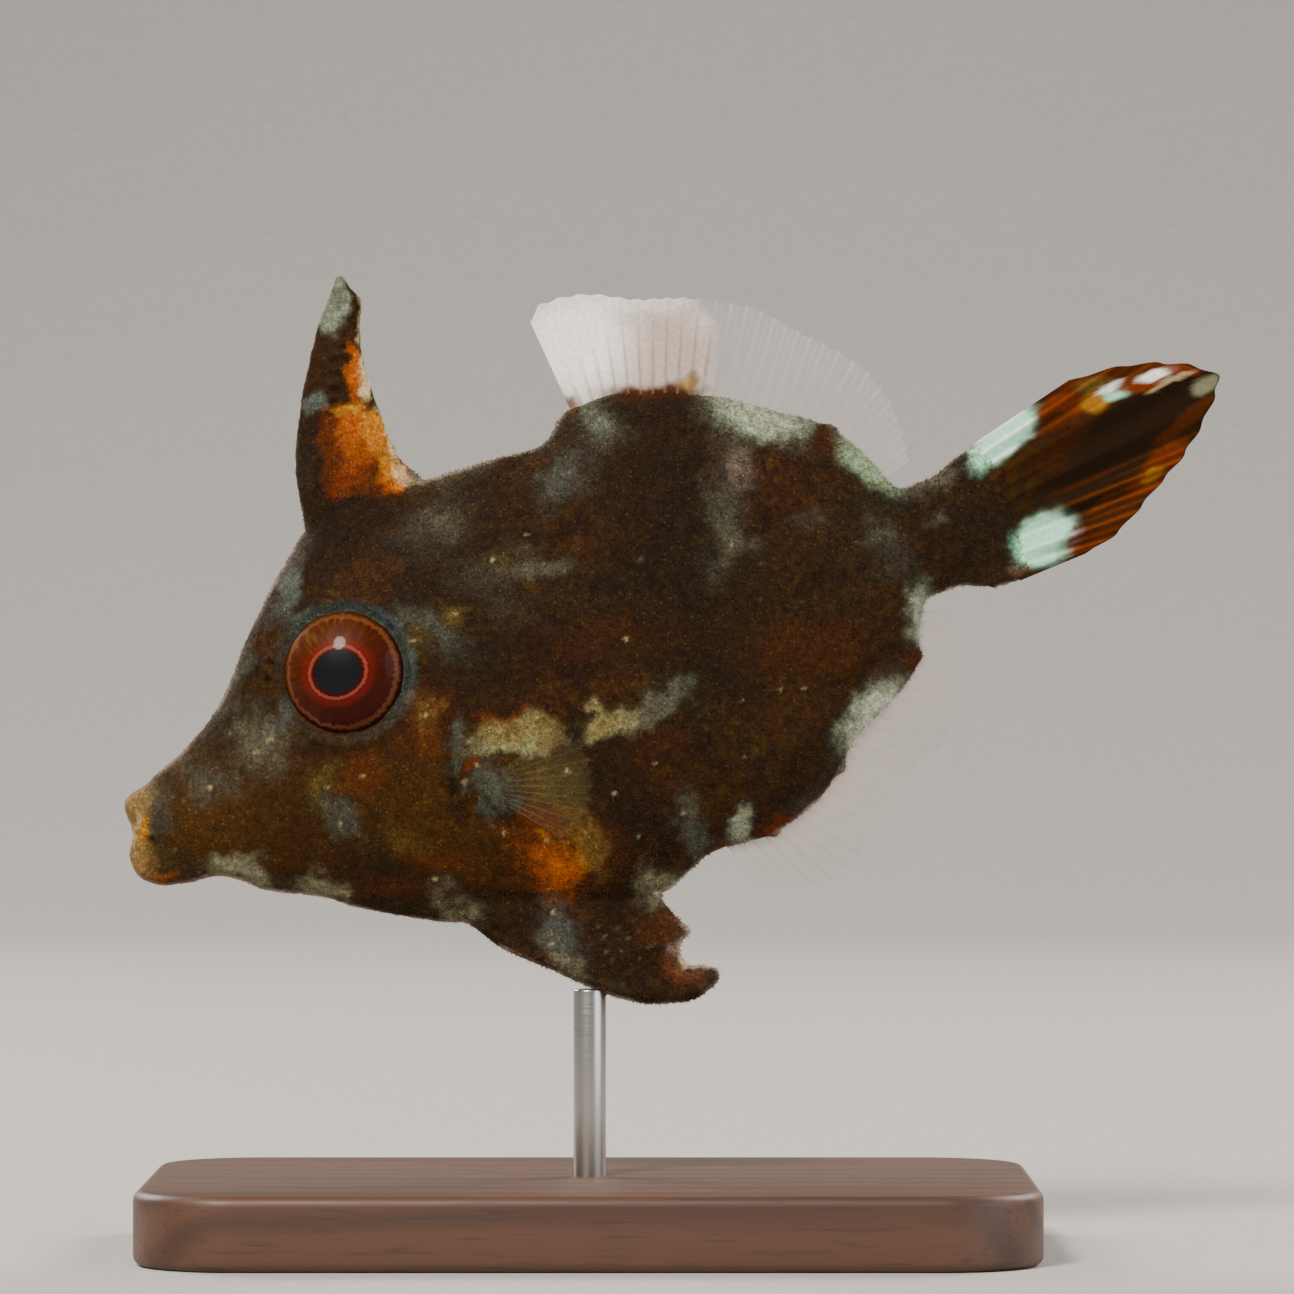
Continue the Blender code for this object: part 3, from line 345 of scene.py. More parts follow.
# Where the margin of the body stands out in small rusty teeth
TEETH = ((830, 431), (922, 656), (843, 768), (776, 834))
GREY_FLECKS = (
    (604, 936), (616, 928), (628, 938), (640, 930), (622, 950), (606, 950), (634, 920), (592, 944),
    (650, 946), (612, 960), (640, 958), (598, 926), (186, 800), (176, 850), (700, 480), (640, 560),
    (760, 600), (860, 620),
)
TAIL_MARKS = (
    ("brown", 1160, 440, 110, 60, -35, 0.8), ("rust", 1062, 452, 38, 20, -30, 0.4),
    ("umber", 1132, 434, 94, 31, -33, 1), ("aqua", 1004, 437, 44, 18, -42, 1),
    ("aqua", 1045, 540, 38, 25, -35, 1), ("ember", 1060, 410, 28, 17, -25, 1),
    ("russet", 1054, 424, 26, 9, -20, 0.9), ("rust", 1118, 374, 66, 11, -12, 0.9),
    ("amber", 1097, 400, 14, 12, -30, 0.95), ("gold", 1092, 386, 16, 7, -15, 0.9),
    ("aqua", 1117, 392, 13, 9, -30, 0.95), ("white", 1110, 388, 15, 4, -30, 0.9),
    ("ember", 1140, 383, 24, 8, -12, 0.95), ("white", 1156, 374, 19, 5, -12, 0.95),
    ("ember", 1180, 371, 18, 7, 10, 0.9), ("cream", 1170, 382, 24, 3, -22, 0.7),
    ("rust", 1100, 528, 44, 17, -32, 1), ("ember", 1092, 536, 26, 11, -30, 0.6),
    ("russet", 1120, 500, 66, 12, -36, 1), ("ember", 1160, 468, 38, 13, -40, 0.9),
    ("amber", 1152, 474, 13, 6, -35, 0.8), ("russet", 1187, 420, 42, 8, -38, 0.95),
    ("bone", 1206, 384, 16, 8, -40, 0.6),
)
# The soft dorsal fin's marks; the white ones are painted light, the clear fin lit white at its front and
# upper edge
FIN_MARKS = (
    ("rose", 660, 365, 56, 62, 0, 0.6), ("white", 572, 345, 60, 60, -15, 1),
    ("white", 640, 304, 64, 9, 0, 0.6), ("amber", 686, 386, 13, 7, -28, 0.85),
    ("gold", 693, 378, 6, 7, 0, 0.6), ("russet", 655, 393, 50, 7, 0, 1), ("rust", 570, 405, 12, 7, 0, 0.9),
)
CLOUDS = HEAD_CLOUDS + BACK_CLOUDS + BELLY_CLOUDS
# How far in from the outline the pale rim, a painted glow, and the ashen skin fade out and are full, in
# millimetres
PAINTED_GLOW_SPAN = (0.42, 0.16)
ASHEN_SPAN = (1.8, 0.3)
# Noise that frays the marks: (size in millimetres, reach in pixels, seed)
FRAYS = ((2.4, 11.0, 1), (0.9, 7.0, 2), (0.35, 3.5, 3))
SECOND_NOISE = Vector((31.7, 12.9, 47.3))
# What lies over the clouds: (marks, how ragged, how soft, how square)
CLEAR_MARKS = (
    (BARS, 1.3, 0.45, 2.3), (EDGE_MARKS, 0.9, 0.55, 2.2), (LIP_MARKS, 0.7, 0.75, 2.0),
    (SPINE_MARKS + ROOT_MARKS, 0.8, 0.35, 2.2),
)


# Shapes, as the solids have them

def smooth_line(points, at):
    """Heights at the places in at, on a smooth line through the points that never overshoots them."""
    place, height = np.array(points, float).T
    run = np.diff(place)
    slope = np.diff(height) / run
    same_way = slope[:-1] * slope[1:] > 0
    total = np.where(same_way, slope[:-1] + slope[1:], 1.0)
    inner = np.where(same_way, 2 * slope[:-1] * slope[1:] / total, 0.0)
    tangent = np.concatenate([slope[:1], inner, slope[-1:]])
    at = np.clip(np.asarray(at, float), place[0], place[-1])
    i = np.clip(np.searchsorted(place, at) - 1, 0, len(run) - 1)
    t = (at - place[i]) / run[i]
    ease = t * t * (3 - 2 * t)
    bend = run[i] * (tangent[i] * t * (1 - t) ** 2 - tangent[i + 1] * t * t * (1 - t))
    return height[i] + (height[i + 1] - height[i]) * ease + bend


def eased(low, high, value):
    """0 at low, 1 at high and smooth between them."""
    t = np.clip((np.asarray(value, float) - low) / (high - low), 0, 1)
    return t * t * (3 - 2 * t)


def placed(points):
    """Points of the fish, in millimetres, as points of the world in metres."""
    x, y, z = np.asarray(points, float).T
    cos, sin = math.cos(HEAD_DOWN), math.sin(HEAD_DOWN)
    turned = np.stack([x * cos - z * sin, y, x * sin + z * cos], axis=1)
    return (turned + MOUTH_PLACE) * MM


def on_fish(points):
    """Points of the world, in metres, as points of the fish in millimetres."""
    x, y, z = (np.asarray(points, float) / MM - MOUTH_PLACE).T
    cos, sin = math.cos(HEAD_DOWN), math.sin(HEAD_DOWN)
    return np.stack([x * cos + z * sin, y, z * cos - x * sin], axis=1)


def lens_ring(distance, top, bottom, side, half, power, sides):
    """A closed outline across the fish, widest at the height side. A greater power thins its edges."""
    turn = np.arange(sides) * 2 * math.pi / sides
    up, across = np.cos(turn), np.sin(turn)
    height = side + np.where(up > 0, top - side, side - bottom) * up
    width = half * np.sign(across) * np.abs(across) ** power
    return np.stack([np.full(sides, distance), width, height], axis=1)


def flesh_ring(distance):
    """The outline of the flesh at one distance from the mouth, with the swellings of the skin."""
    half = smooth_line(HALF_WIDTH, distance)
    ring = lens_ring(
        distance, smooth_line(BACK_LINE, distance), smooth_line(BELLY_LINE, distance),
        smooth_line(SIDE_LINE, distance), half, smooth_line(LENS_POWER, distance), FLESH_SIDES,
    )
    rise = np.zeros(FLESH_SIDES)
    for x, z, along, up, most in SWELLINGS:
        rise += most * np.exp(-(((distance - x) / along) ** 2) - ((ring[:, 2] - z) / up) ** 2)
    ring[:, 1] *= 1 + rise / half
    return ring


def skin_width(distance, height):
    """How far the plain flesh is from the middle plane, at a distance from the mouth and a height."""
    side = smooth_line(SIDE_LINE, distance)
    edge = smooth_line(BACK_LINE if height > side else BELLY_LINE, distance)
    up = (height - side) / (edge - side)
    return smooth_line(HALF_WIDTH, distance) * (1 - up * up) ** (smooth_line(LENS_POWER, distance) / 2)


def finer(table, count):
    """The rows of a table of numbers, smoothly made count rows."""
    order, at = np.arange(len(table)), np.linspace(0, len(table) - 1, count)
    return np.stack([smooth_line(list(zip(order, column)), at) for column in zip(*table)], axis=1)


def evenly(edge, count):
    """Points spread evenly from end to end of a smooth edge, given by its own points."""
    dense = finer(edge, 400)
    length = np.concatenate([[0], np.cumsum(np.linalg.norm(np.diff(dense, axis=0), axis=1))])
    even = np.linspace(0, length[-1], count)
    return np.stack([np.interp(even, length, dense[:, k]) for k in (0, 1)], axis=1)


# Making objects

def object_from(name, points, faces, edges=()):
    """A new object in the scene from points in metres and faces, alone in being selected."""
    mesh = bpy.data.meshes.new(name)
    mesh.from_pydata([tuple(p) for p in points], edges, [tuple(f) for f in faces])
    made = bpy.data.objects.new(name, mesh)
    bpy.context.scene.collection.objects.link(made)
    choose(made)
    return made


def choose(*chosen):
    """Select only these objects, the first of them active."""
    bpy.ops.object.select_all(action="DESELECT")
    for each in chosen:
        each.select_set(True)
    bpy.context.view_layer.objects.active = chosen[0]


def turned_outwards(piece):
    """The piece with its doubles merged and its faces pointing outwards."""
    choose(piece)
    bpy.ops.object.mode_set(mode="EDIT")
    bpy.ops.mesh.select_all(action="SELECT")
    bpy.ops.mesh.remove_doubles(threshold=1e-7)
    bpy.ops.mesh.normals_make_consistent(inside=False)
    bpy.ops.object.mode_set(mode="OBJECT")
    return piece


def loft(name, rings):
    """A closed object through rings of points of the fish, with a flat cap at each end."""
    sides = len(rings[0])
    faces = []
    for r in range(len(rings) - 1):
        for i in range(sides):
            j = (i + 1) % sides
            faces.append((r * sides + i, r * sides + j, (r + 1) * sides + j, (r + 1) * sides + i))
    faces.append(range(sides))
    faces.append(range((len(rings) - 1) * sides, len(rings) * sides))
    return turned_outwards(object_from(name, placed(np.concatenate(rings)), faces))


def modified(piece, kind, **settings):
    """The piece after one modifier, applied."""
    choose(piece)
    bpy.ops.object.modifier_add(type=kind)
    change = piece.modifiers[-1]
    for setting, value in settings.items():
        setattr(change, setting, value)
    bpy.ops.object.modifier_apply(modifier=change.name)
    return piece


def joined(name, pieces):
    """One object out of several."""
    choose(*pieces)
    bpy.ops.object.join()
    pieces[0].name = name
    return pieces[0]


def points_of(piece):
    """The piece's points, as an array in metres."""
    flat = np.empty(3 * len(piece.data.vertices))
    piece.data.vertices.foreach_get("co", flat)
    return flat.reshape(-1, 3)


def normals_of(piece):
    """The directions in which the piece faces at its points."""
    flat = np.empty(3 * len(piece.data.vertices))
    piece.data.vertex_normals.foreach_get("vector", flat)
    return flat.reshape(-1, 3)


def moved_to(piece, points):
    """The piece with its points put at new places."""
    piece.data.vertices.foreach_set("co", np.asarray(points, float).ravel())
    piece.data.update()
    return piece


def float_on(piece, name, values):
    """A number stored at each point of the piece."""
    piece.data.attributes.new(name, "FLOAT", "POINT").data.foreach_set("value", np.asarray(values, float))


def colour_on(piece, name, colour, cover):
    """A colour and how far it covers, stored at each point of the piece."""
    stored = piece.data.attributes.new(name, "FLOAT_COLOR", "POINT")
    stored.data.foreach_set("color", np.concatenate([colour, cover[:, None]], axis=1).ravel())


# Markings

def linear(code):
    """An sRGB hex value as linear red, green and blue."""
    shares = [int(code[i:i + 2], 16) / 255 for i in (0, 2, 4)]
    return np.array([s / 12.92 if s <= 0.04045 else ((s + 0.055) / 1.055) ** 2.4 for s in shares])


def photo_places(points):
    """Where points of the world stand in the photograph's pixels."""
    return points[:, 0] / MM / PIXEL + PHOTO_ORIGIN[0], PHOTO_ORIGIN[1] - points[:, 2] / MM / PIXEL


def wandering(points, size, seed):
    """Two smooth wanderings between -1 and 1 over the points, for blotches of a size in millimetres.

    The second is the same noise, read SECOND_NOISE away from the first.
    """
    scale = 1 / (size * MM)
    drift = Vector((seed * 7.3, seed * 3.1, seed * 5.7))
    places = [Vector(p) * scale + drift for p in points]
    return tuple(np.array([noise.noise(p + way) for p in places]) for way in (Vector(), SECOND_NOISE))


def marked(points, marks, ragged, soft, square=2.0):
    """The colour and cover that the marks give at points of the world: ovals, or rounder-cornered, frayed."""
    x, y = photo_places(points)
    for size, reach, seed in FRAYS:
        dx, dy = wandering(points, size, seed)
        x, y = x + dx * reach * ragged, y + dy * reach * ragged
    colour, cover = np.zeros((len(points), 3)), np.zeros(len(points))
    for pigment, px, py, long, high, turn, strength in marks:
        cos, sin = math.cos(math.radians(turn)), math.sin(math.radians(turn))
        along, over = (x - px) * cos + (y - py) * sin, (y - py) * cos - (x - px) * sin
        reach = ((np.abs(along) / long) ** square + (np.abs(over) / high) ** square) ** (1 / square)
        share = strength * eased(1 + soft, 1 - soft, reach)
        colour += (linear(PIGMENTS[pigment]) - colour) * share[:, None]
        cover += (1 - cover) * share
    return colour, cover


def laid_over(colour, cover, pigment, share):
    """The same colour and cover with more of one pigment over them."""
    colour += (linear(PIGMENTS[pigment]) - colour) * share[:, None]
    return colour, cover + (1 - cover) * share


def flecked(points, colour, cover):
    """The same colour and cover with the small pale flecks added."""
    x, y = photo_places(points)
    drift = wandering(points, 0.3, 4)
    for flecks, pigment, strength in ((GREY_FLECKS, "ash", 0.8), (FLECKS, "cream", 0.45)):
        share = np.zeros(len(points))
        for px, py in flecks:
            away = np.hypot(x - px + 2.5 * drift[0], (y - py) * 1.2 + 2.5 * drift[1])
            share = np.maximum(share, strength * eased(3.6, 1.0, away))
        colour, cover = laid_over(colour, cover, pigment, share)
    return colour, cover


def ringed_eye(points, colour, cover):
    """The same colour and cover with the blue-grey skin round each eye."""
    fish = on_fish(points)
    x, z = fish[:, 0] - EYE_MIDDLE[0], fish[:, 2] - EYE_MIDDLE[2]
    rear = np.maximum(eased(-4.0, 3.5, 0.9 * x + 0.7 * z), 0.8 * eased(0.0, 4.0, z))
    share = (0.2 + 0.5 * rear) * eased(5.3, 4.5, np.hypot(x, z))
    return laid_over(colour, cover, "ring", share)


def outline():
    """The outline of the fish from the side, as lines of (distance, height)."""
    at = [np.linspace(*span, 40) for span in ((1.6, 18.0), (26.4, 62.5), (1.6, 19.0), (32.0, 62.5))]
    lines = [list(zip(x, smooth_line(BACK_LINE, x))) for x in at[:2]]
    lines += [list(zip(x, smooth_line(BELLY_LINE, x))) for x in at[2:]]
    lines += [evenly([(x, z) for z, x in edge], 30) for edge in (FLAP_FRONT[2:], FLAP_REAR[2:])]
    lines += [evenly(SPINE_FRONT + (SPINE_TIP,), 24), evenly(WEB_REAR, 24), (SPINE_TIP, WEB_REAR[-1])]
    lines += [[(x, top) for x, top, *_ in UPPER_LIP], [(x, low) for x, _, low, _ in LOWER_LIP]]
    lines += [[(x, low) for x, _, low, _ in UPPER_LIP[4:]], [(x, top) for x, top, *_ in LOWER_LIP[4:]]]
    return lines


def skin_colours(points, normals):
    """The colour and cover of all the skin's markings at points of the world.

    Along the fish's outline the skin is ashen, with a thin pale rim on each side that fades on the back: the
    rim is painted glow, the light that the velvet catches at the fish's edges.
    """
    flank = on_fish(points)[:, [0, 2]]
    away = np.min([line_distance(flank, line) for line in outline()], axis=0)
    coarse, fine = wandering(points, 1.6, 8)[0], wandering(points, 0.4, 9)[0]
    level = eased(0.03, 0.25, np.abs(normals[:, 1]))
    low = np.interp(flank[:, 1], (-1, 4), (1, 0.5))
    # Painted glow: the pale rim stands for light caught along the outline, weaker where the skin turns to the
    # back and higher up
    rim = eased(*PAINTED_GLOW_SPAN, away) * (0.2 + 0.6 * level) * low * np.clip(0.65 + coarse + 0.4 * fine, 0.1, 1.1)
    colour, cover = marked(points, CLOUDS, 1.3, 0.8)
    ashen = eased(*ASHEN_SPAN, away) * np.clip(0.3 + 0.3 * coarse, 0.06, 0.55)
    colour, cover = laid_over(colour, cover, "ash", ashen)
    # Lay the painted glow of the rim over the skin
    colour, cover = laid_over(colour, cover, "rim", np.minimum(rim, 1))
    for marks, ragged, soft, square in CLEAR_MARKS:
        over, share = marked(points, marks, ragged, soft, square)
        colour = colour + (over - colour) * share[:, None]
        cover = cover + (1 - cover) * share
    return flecked(points, *ringed_eye(points, colour, cover))


# Materials

def added(material, kind, inputs=(), **settings):
    """One node of a material with its settings, its inputs given values or links from other nodes."""
    tree = material.node_tree
    made = tree.nodes.new("ShaderNode" + kind)
    for name, value in settings.items():
        setattr(made, name, value)
    for socket, value in dict(inputs).items():
        if isinstance(value, bpy.types.NodeSocket):
            tree.links.new(value, made.inputs[socket])
        else:
            made.inputs[socket].default_value = value
    return made


def started(name, **settings):
    """A new material and its Principled shader, with the values that are the same all over it."""
    material = bpy.data.materials.new(name)
    material.use_nodes = True
    shader = material.node_tree.nodes["Principled BSDF"]
    for socket, value in settings.items():
        shader.inputs[socket.replace("_", " ")].default_value = value
    return material, shader


def wired(material, shader, **outputs):
    """Each named input of the shader fed by a node's output."""
    for socket, output in outputs.items():
        material.node_tree.links.new(output, shader.inputs[socket.replace("_", " ")])
    return material


def tinted(code):
    """An sRGB hex value as an opaque colour for a socket."""
    return (*linear(code), 1.0)


def stepped(material, factor, stops):
    """A colour ramp through (place, hex) stops."""
    ramp = added(material, "ValToRGB", {"Fac": factor})
    while len(ramp.color_ramp.elements) < len(stops):
        ramp.color_ramp.elements.new(0.5)
    for element, (place, code) in zip(ramp.color_ramp.elements, stops):
        element.position = place
        element.color = tinted(code)
    return ramp.outputs["Color"]


def every(size):
    """The scale of a pattern that repeats about every size millimetres."""
    return 1 / (size * MM)


def ground(material, place):
    """The brown under all markings: olive and purplish clouds against warm ones, all finely mottled."""
    blotch = added(material, "TexNoise", {
        "Vector": place, "Scale": every(3.3), "Detail": 6.0, "Roughness": 0.68,
    })
    cool = stepped(material, blotch.outputs["Fac"], (
        (0.3, "160e07"), (0.42, "20150b"), (0.5, "2a1d07"),
        (0.58, "22160d"), (0.68, "312407"), (0.78, "24190e"),
    ))
    warm = stepped(material, blotch.outputs["Fac"], (
        (0.3, "1f1106"), (0.42, "2b1706"), (0.5, "382106"),
        (0.58, "2b1607"), (0.68, "442d06"), (0.78, "341c07"),
    ))
    drift = added(material, "TexNoise", {"Vector": place, "Scale": every(10.5), "Detail": 3.0})
    warmth = added(material, "MapRange", {"Value": drift.outputs["Fac"], "From Min": 0.42, "From Max": 0.58})
    return added(material, "Mix", {
        "Factor": warmth.outputs["Result"], "A": cool, "B": warm,
    }, data_type="RGBA")


def grained(material, place, colour, size, darkest, palest):
    """A colour broken into fine grains."""
    grain = added(material, "TexNoise", {
        "Vector": place, "Scale": every(size), "Detail": 2.0, "Roughness": 0.6,
    })
    shade = added(material, "MapRange", {
        "Value": grain.outputs["Fac"], "From Min": 0.35, "From Max": 0.72,
        "To Min": darkest, "To Max": palest,
    })
    return added(material, "Mix", {
        "Factor": 1.0, "A": colour, "B": shade.outputs["Result"],
    }, data_type="RGBA", blend_type="MULTIPLY").outputs["Result"]


def velvet_skin():
    """Filefish skin: no scales to see, but a velvet of tiny prickles that is matt and glows at its edges."""
    material, shader = started("velvet_skin", IOR=1.4, Sheen_Weight=0.08, Sheen_Roughness=0.35)
    shader.inputs["Sheen Tint"].default_value = tinted("e6d2c6")
    shader.inputs["Specular IOR Level"].default_value = 0.12
    place = added(material, "TexCoord").outputs["Object"]
    mark = added(material, "Attribute", attribute_name="markings")
    worn = added(material, "TexNoise", {
        "Vector": place, "Scale": every(0.77), "Detail": 6.0, "Roughness": 0.8,
    })
    frayed = added(material, "Math", {0: worn.outputs["Fac"], 1: 2.6, 2: -1.3}, operation="MULTIPLY_ADD")
    edge = added(material, "Math", {0: mark.outputs["Alpha"], 1: frayed.outputs[0]}, operation="ADD")
    cover = added(material, "MapRange", {"Value": edge.outputs[0], "From Min": 0.1, "From Max": 1.12})
    shown = added(material, "Math", {
        0: cover.outputs["Result"], 1: mark.outputs["Alpha"],
    }, operation="MULTIPLY")
    shown = added(material, "Math", {0: shown.outputs[0], 1: 0.5}, operation="POWER")
    coloured = added(material, "Mix", {
        "Factor": shown.outputs[0], "A": ground(material, place).outputs["Result"],
        "B": mark.outputs["Color"],
    }, data_type="RGBA")
    sanded = grained(material, place, coloured.outputs["Result"], 0.5, 0.74, 1.3)
    dots = added(material, "TexVoronoi", {"Vector": place, "Scale": every(0.23)})
    lit = added(material, "SeparateColor", {"Color": dots.outputs["Color"]}).outputs["Red"]
    size = added(material, "MapRange", {"Value": lit, "From Min": 0.45, "To Min": 0.0, "To Max": 0.45})
    near = added(material, "Math", {
        0: size.outputs["Result"], 1: dots.outputs["Distance"],
    }, operation="SUBTRACT")
    paleness = added(material, "RGBToBW", {"Color": coloured.outputs["Result"]})
    golden = added(material, "Math", {
        0: added(material, "MapRange", {"Value": near.outputs[0], "From Max": 0.2}).outputs["Result"],
        1: added(material, "MapRange", {
            "Value": paleness.outputs["Val"], "From Min": 0.012, "From Max": 0.12,
            "To Min": 0.06, "To Max": 0.5,
        }).outputs["Result"],
    }, operation="MULTIPLY")
    dotted = added(material, "Mix", {
        "Factor": golden.outputs[0], "A": grained(material, place, sanded, 0.19, 0.72, 1.5),
        "B": tinted("b49c64"),
    }, data_type="RGBA")
    tip = added(material, "Attribute", attribute_name="tip")
    pale = added(material, "Math", {0: tip.outputs["Fac"], 1: 0.15}, operation="MULTIPLY")
    tipped = added(material, "Mix", {
        "Factor": pale.outputs[0], "A": dotted.outputs["Result"], "B": tinted("9c8468"),
    }, data_type="RGBA")
    wired(material, shader, Base_Color=tipped.outputs["Result"])
    rough = added(material, "MapRange", {"Value": worn.outputs["Fac"], "To Min": 0.6, "To Max": 0.85})
    wired(material, shader, Roughness=rough.outputs["Result"])
    prickles = added(material, "TexVoronoi", {"Vector": place, "Scale": every(0.18)})
    bump = added(material, "Bump", {
        "Height": prickles.outputs["Distance"], "Strength": 0.35, "Distance": 0.00006,
        "Normal": added(material, "Bump", {
            "Height": worn.outputs["Fac"], "Strength": 0.3, "Distance": 0.0002,
        }).outputs["Normal"],
    })
    return wired(material, shader, Normal=bump.outputs["Normal"])


def film(name, wet):
    """Fin membrane: a film over soft rays, glossy while wet, brown where no mark lies on it."""
    material, shader = started(name, IOR=1.36, Roughness=0.8 - 0.4 * wet)
    shader.inputs["Specular IOR Level"].default_value = 0.06 + 0.3 * wet
    place = added(material, "TexCoord").outputs["Object"]
    mark = added(material, "Attribute", attribute_name="markings")
    coloured = added(material, "Mix", {
        "Factor": mark.outputs["Alpha"], "A": ground(material, place).outputs["Result"],
        "B": mark.outputs["Color"],
    }, data_type="RGBA").outputs["Result"]
    shown = grained(material, place, coloured, 0.28, 0.86, 1.12)
    wired(material, shader, Base_Color=shown)
    clear = added(material, "Attribute", attribute_name="opacity")
    wired(material, shader, Alpha=clear.outputs["Fac"])
    grain = added(material, "TexNoise", {
        "Vector": place, "Scale": every(0.38), "Detail": 3.0, "Roughness": 0.65,
    })
    bump = added(material, "Bump", {"Height": grain.outputs["Fac"], "Strength": 0.25, "Distance": 0.00005})
    return wired(material, shader, Normal=bump.outputs["Normal"])


def wet_eye():
    """The eye under its clear cornea: a slate pupil in a thin red ring, and a streaked, glossy iris, painted
    paler and golden towards its top as a highlight.
    """
    material, shader = started("wet_eye", IOR=1.376, Roughness=0.45, Coat_Weight=0.13, Coat_Roughness=0.06)
    shader.inputs["Specular IOR Level"].default_value = 0.1
    shader.inputs["Coat IOR"].default_value = 1.376
    place = added(material, "Attribute", attribute_name="eye_place").outputs["Vector"]
    pupil = added(material, "Mapping", {
        "Vector": place, "Location": (0.1, 0.0, 0.0), "Rotation": (0, 0, math.radians(-5)),
        "Scale": (0.89, 1.0, 0.0),
    })
    pupil = added(material, "VectorMath", {0: pupil.outputs["Vector"]}, operation="LENGTH").outputs["Value"]
    flat = added(material, "Mapping", {"Vector": place, "Scale": (1.0, 1.0, 0.0)}).outputs["Vector"]
    radius = added(material, "VectorMath", {0: flat}, operation="LENGTH").outputs["Value"]
    outwards = added(material, "VectorMath", {0: flat}, operation="NORMALIZE").outputs["Vector"]
    ray_place = added(material, "VectorMath", {
        0: outwards, 1: added(material, "CombineXYZ", {"Z": radius}).outputs["Vector"],
    }, operation="ADD").outputs["Vector"]
    streaks = added(material, "Mapping", {"Vector": ray_place, "Scale": (7.0, 7.0, 0.7)})
    streaks = added(material, "TexNoise", {
        "Vector": streaks.outputs["Vector"], "Scale": 1.6, "Detail": 3.0, "Roughness": 0.4,
    })
    # Painted highlight: the iris turns paler and golden towards its top, a little forwards, where the lamp
    # light falls; its streaks are its own
    side = added(material, "VectorMath", {0: outwards, 1: (-0.25, 0.97, 0.0)}, operation="DOT_PRODUCT")
    golden = added(material, "Math", {0: side.outputs["Value"], 1: 0.2, 2: 0.26}, operation="MULTIPLY_ADD")
    golden = added(material, "Math", {
        0: streaks.outputs["Fac"], 1: 0.44, 2: golden.outputs[0],
    }, operation="MULTIPLY_ADD")
    iris = stepped(material, golden.outputs[0], (
        (0.15, "2a0601"), (0.4, "360a01"), (0.55, "3e1401"), (0.68, "461f03"), (0.8, "5e3e12"),
    ))
    outer = added(material, "Math", {
        0: radius,
        1: added(material, "MapRange", {
            "Value": streaks.outputs["Fac"], "To Min": -0.25, "To Max": 0.25,
        }).outputs["Result"],
    }, operation="ADD").outputs[0]
    iris = ringed(material, iris, outer, (3.5, 3.68, 3.76, 3.95), "74482a", 0.45)
    iris = ringed(material, iris, radius, (3.9, 4.1, 9.0, 9.1), "1a100e", 0.8)
    iris = ringed(material, iris, pupil, (1.85, 1.95, 2.05, 2.5), "621208", 0.6)
    wavering = added(material, "Math", {
        0: pupil,
        1: added(material, "MapRange", {
            "Value": streaks.outputs["Fac"], "To Min": -0.12, "To Max": 0.12,
        }).outputs["Result"],
    }, operation="ADD").outputs[0]
    iris = ringed(material, iris, wavering, (1.6, 1.68, 1.78, 1.9), "88362a", 0.85)
    iris = ringed(material, iris, pupil, (-2.0, -1.9, 1.5, 1.62), "2a0806", 1.0)
    iris = ringed(material, iris, pupil, (-2.0, -1.9, 1.34, 1.44), "101416", 1.0)
    wired(material, shader, Base_Color=iris)
    bump = added(material, "Bump", {"Height": streaks.outputs["Fac"], "Strength": 0.12, "Distance": 0.0001})
    return wired(material, shader, Normal=bump.outputs["Normal"])


def ringed(material, under, radius, edges, code, strength):
    """A ring of colour over what is under it, fading in and out between four radii."""
    rise, full, fade, end = edges
    inner = added(material, "MapRange", {
        "Value": radius, "From Min": rise, "From Max": full,
    }, interpolation_type="SMOOTHSTEP").outputs["Result"]
    outer = added(material, "MapRange", {
        "Value": radius, "From Min": fade, "From Max": end, "To Min": strength, "To Max": 0.0,
    }, interpolation_type="SMOOTHSTEP").outputs["Result"]
    share = added(material, "Math", {0: inner, 1: outer}, operation="MULTIPLY").outputs[0]
    over = added(material, "Mix", {"Factor": share, "A": under, "B": tinted(code)}, data_type="RGBA")
    return over.outputs["Result"]


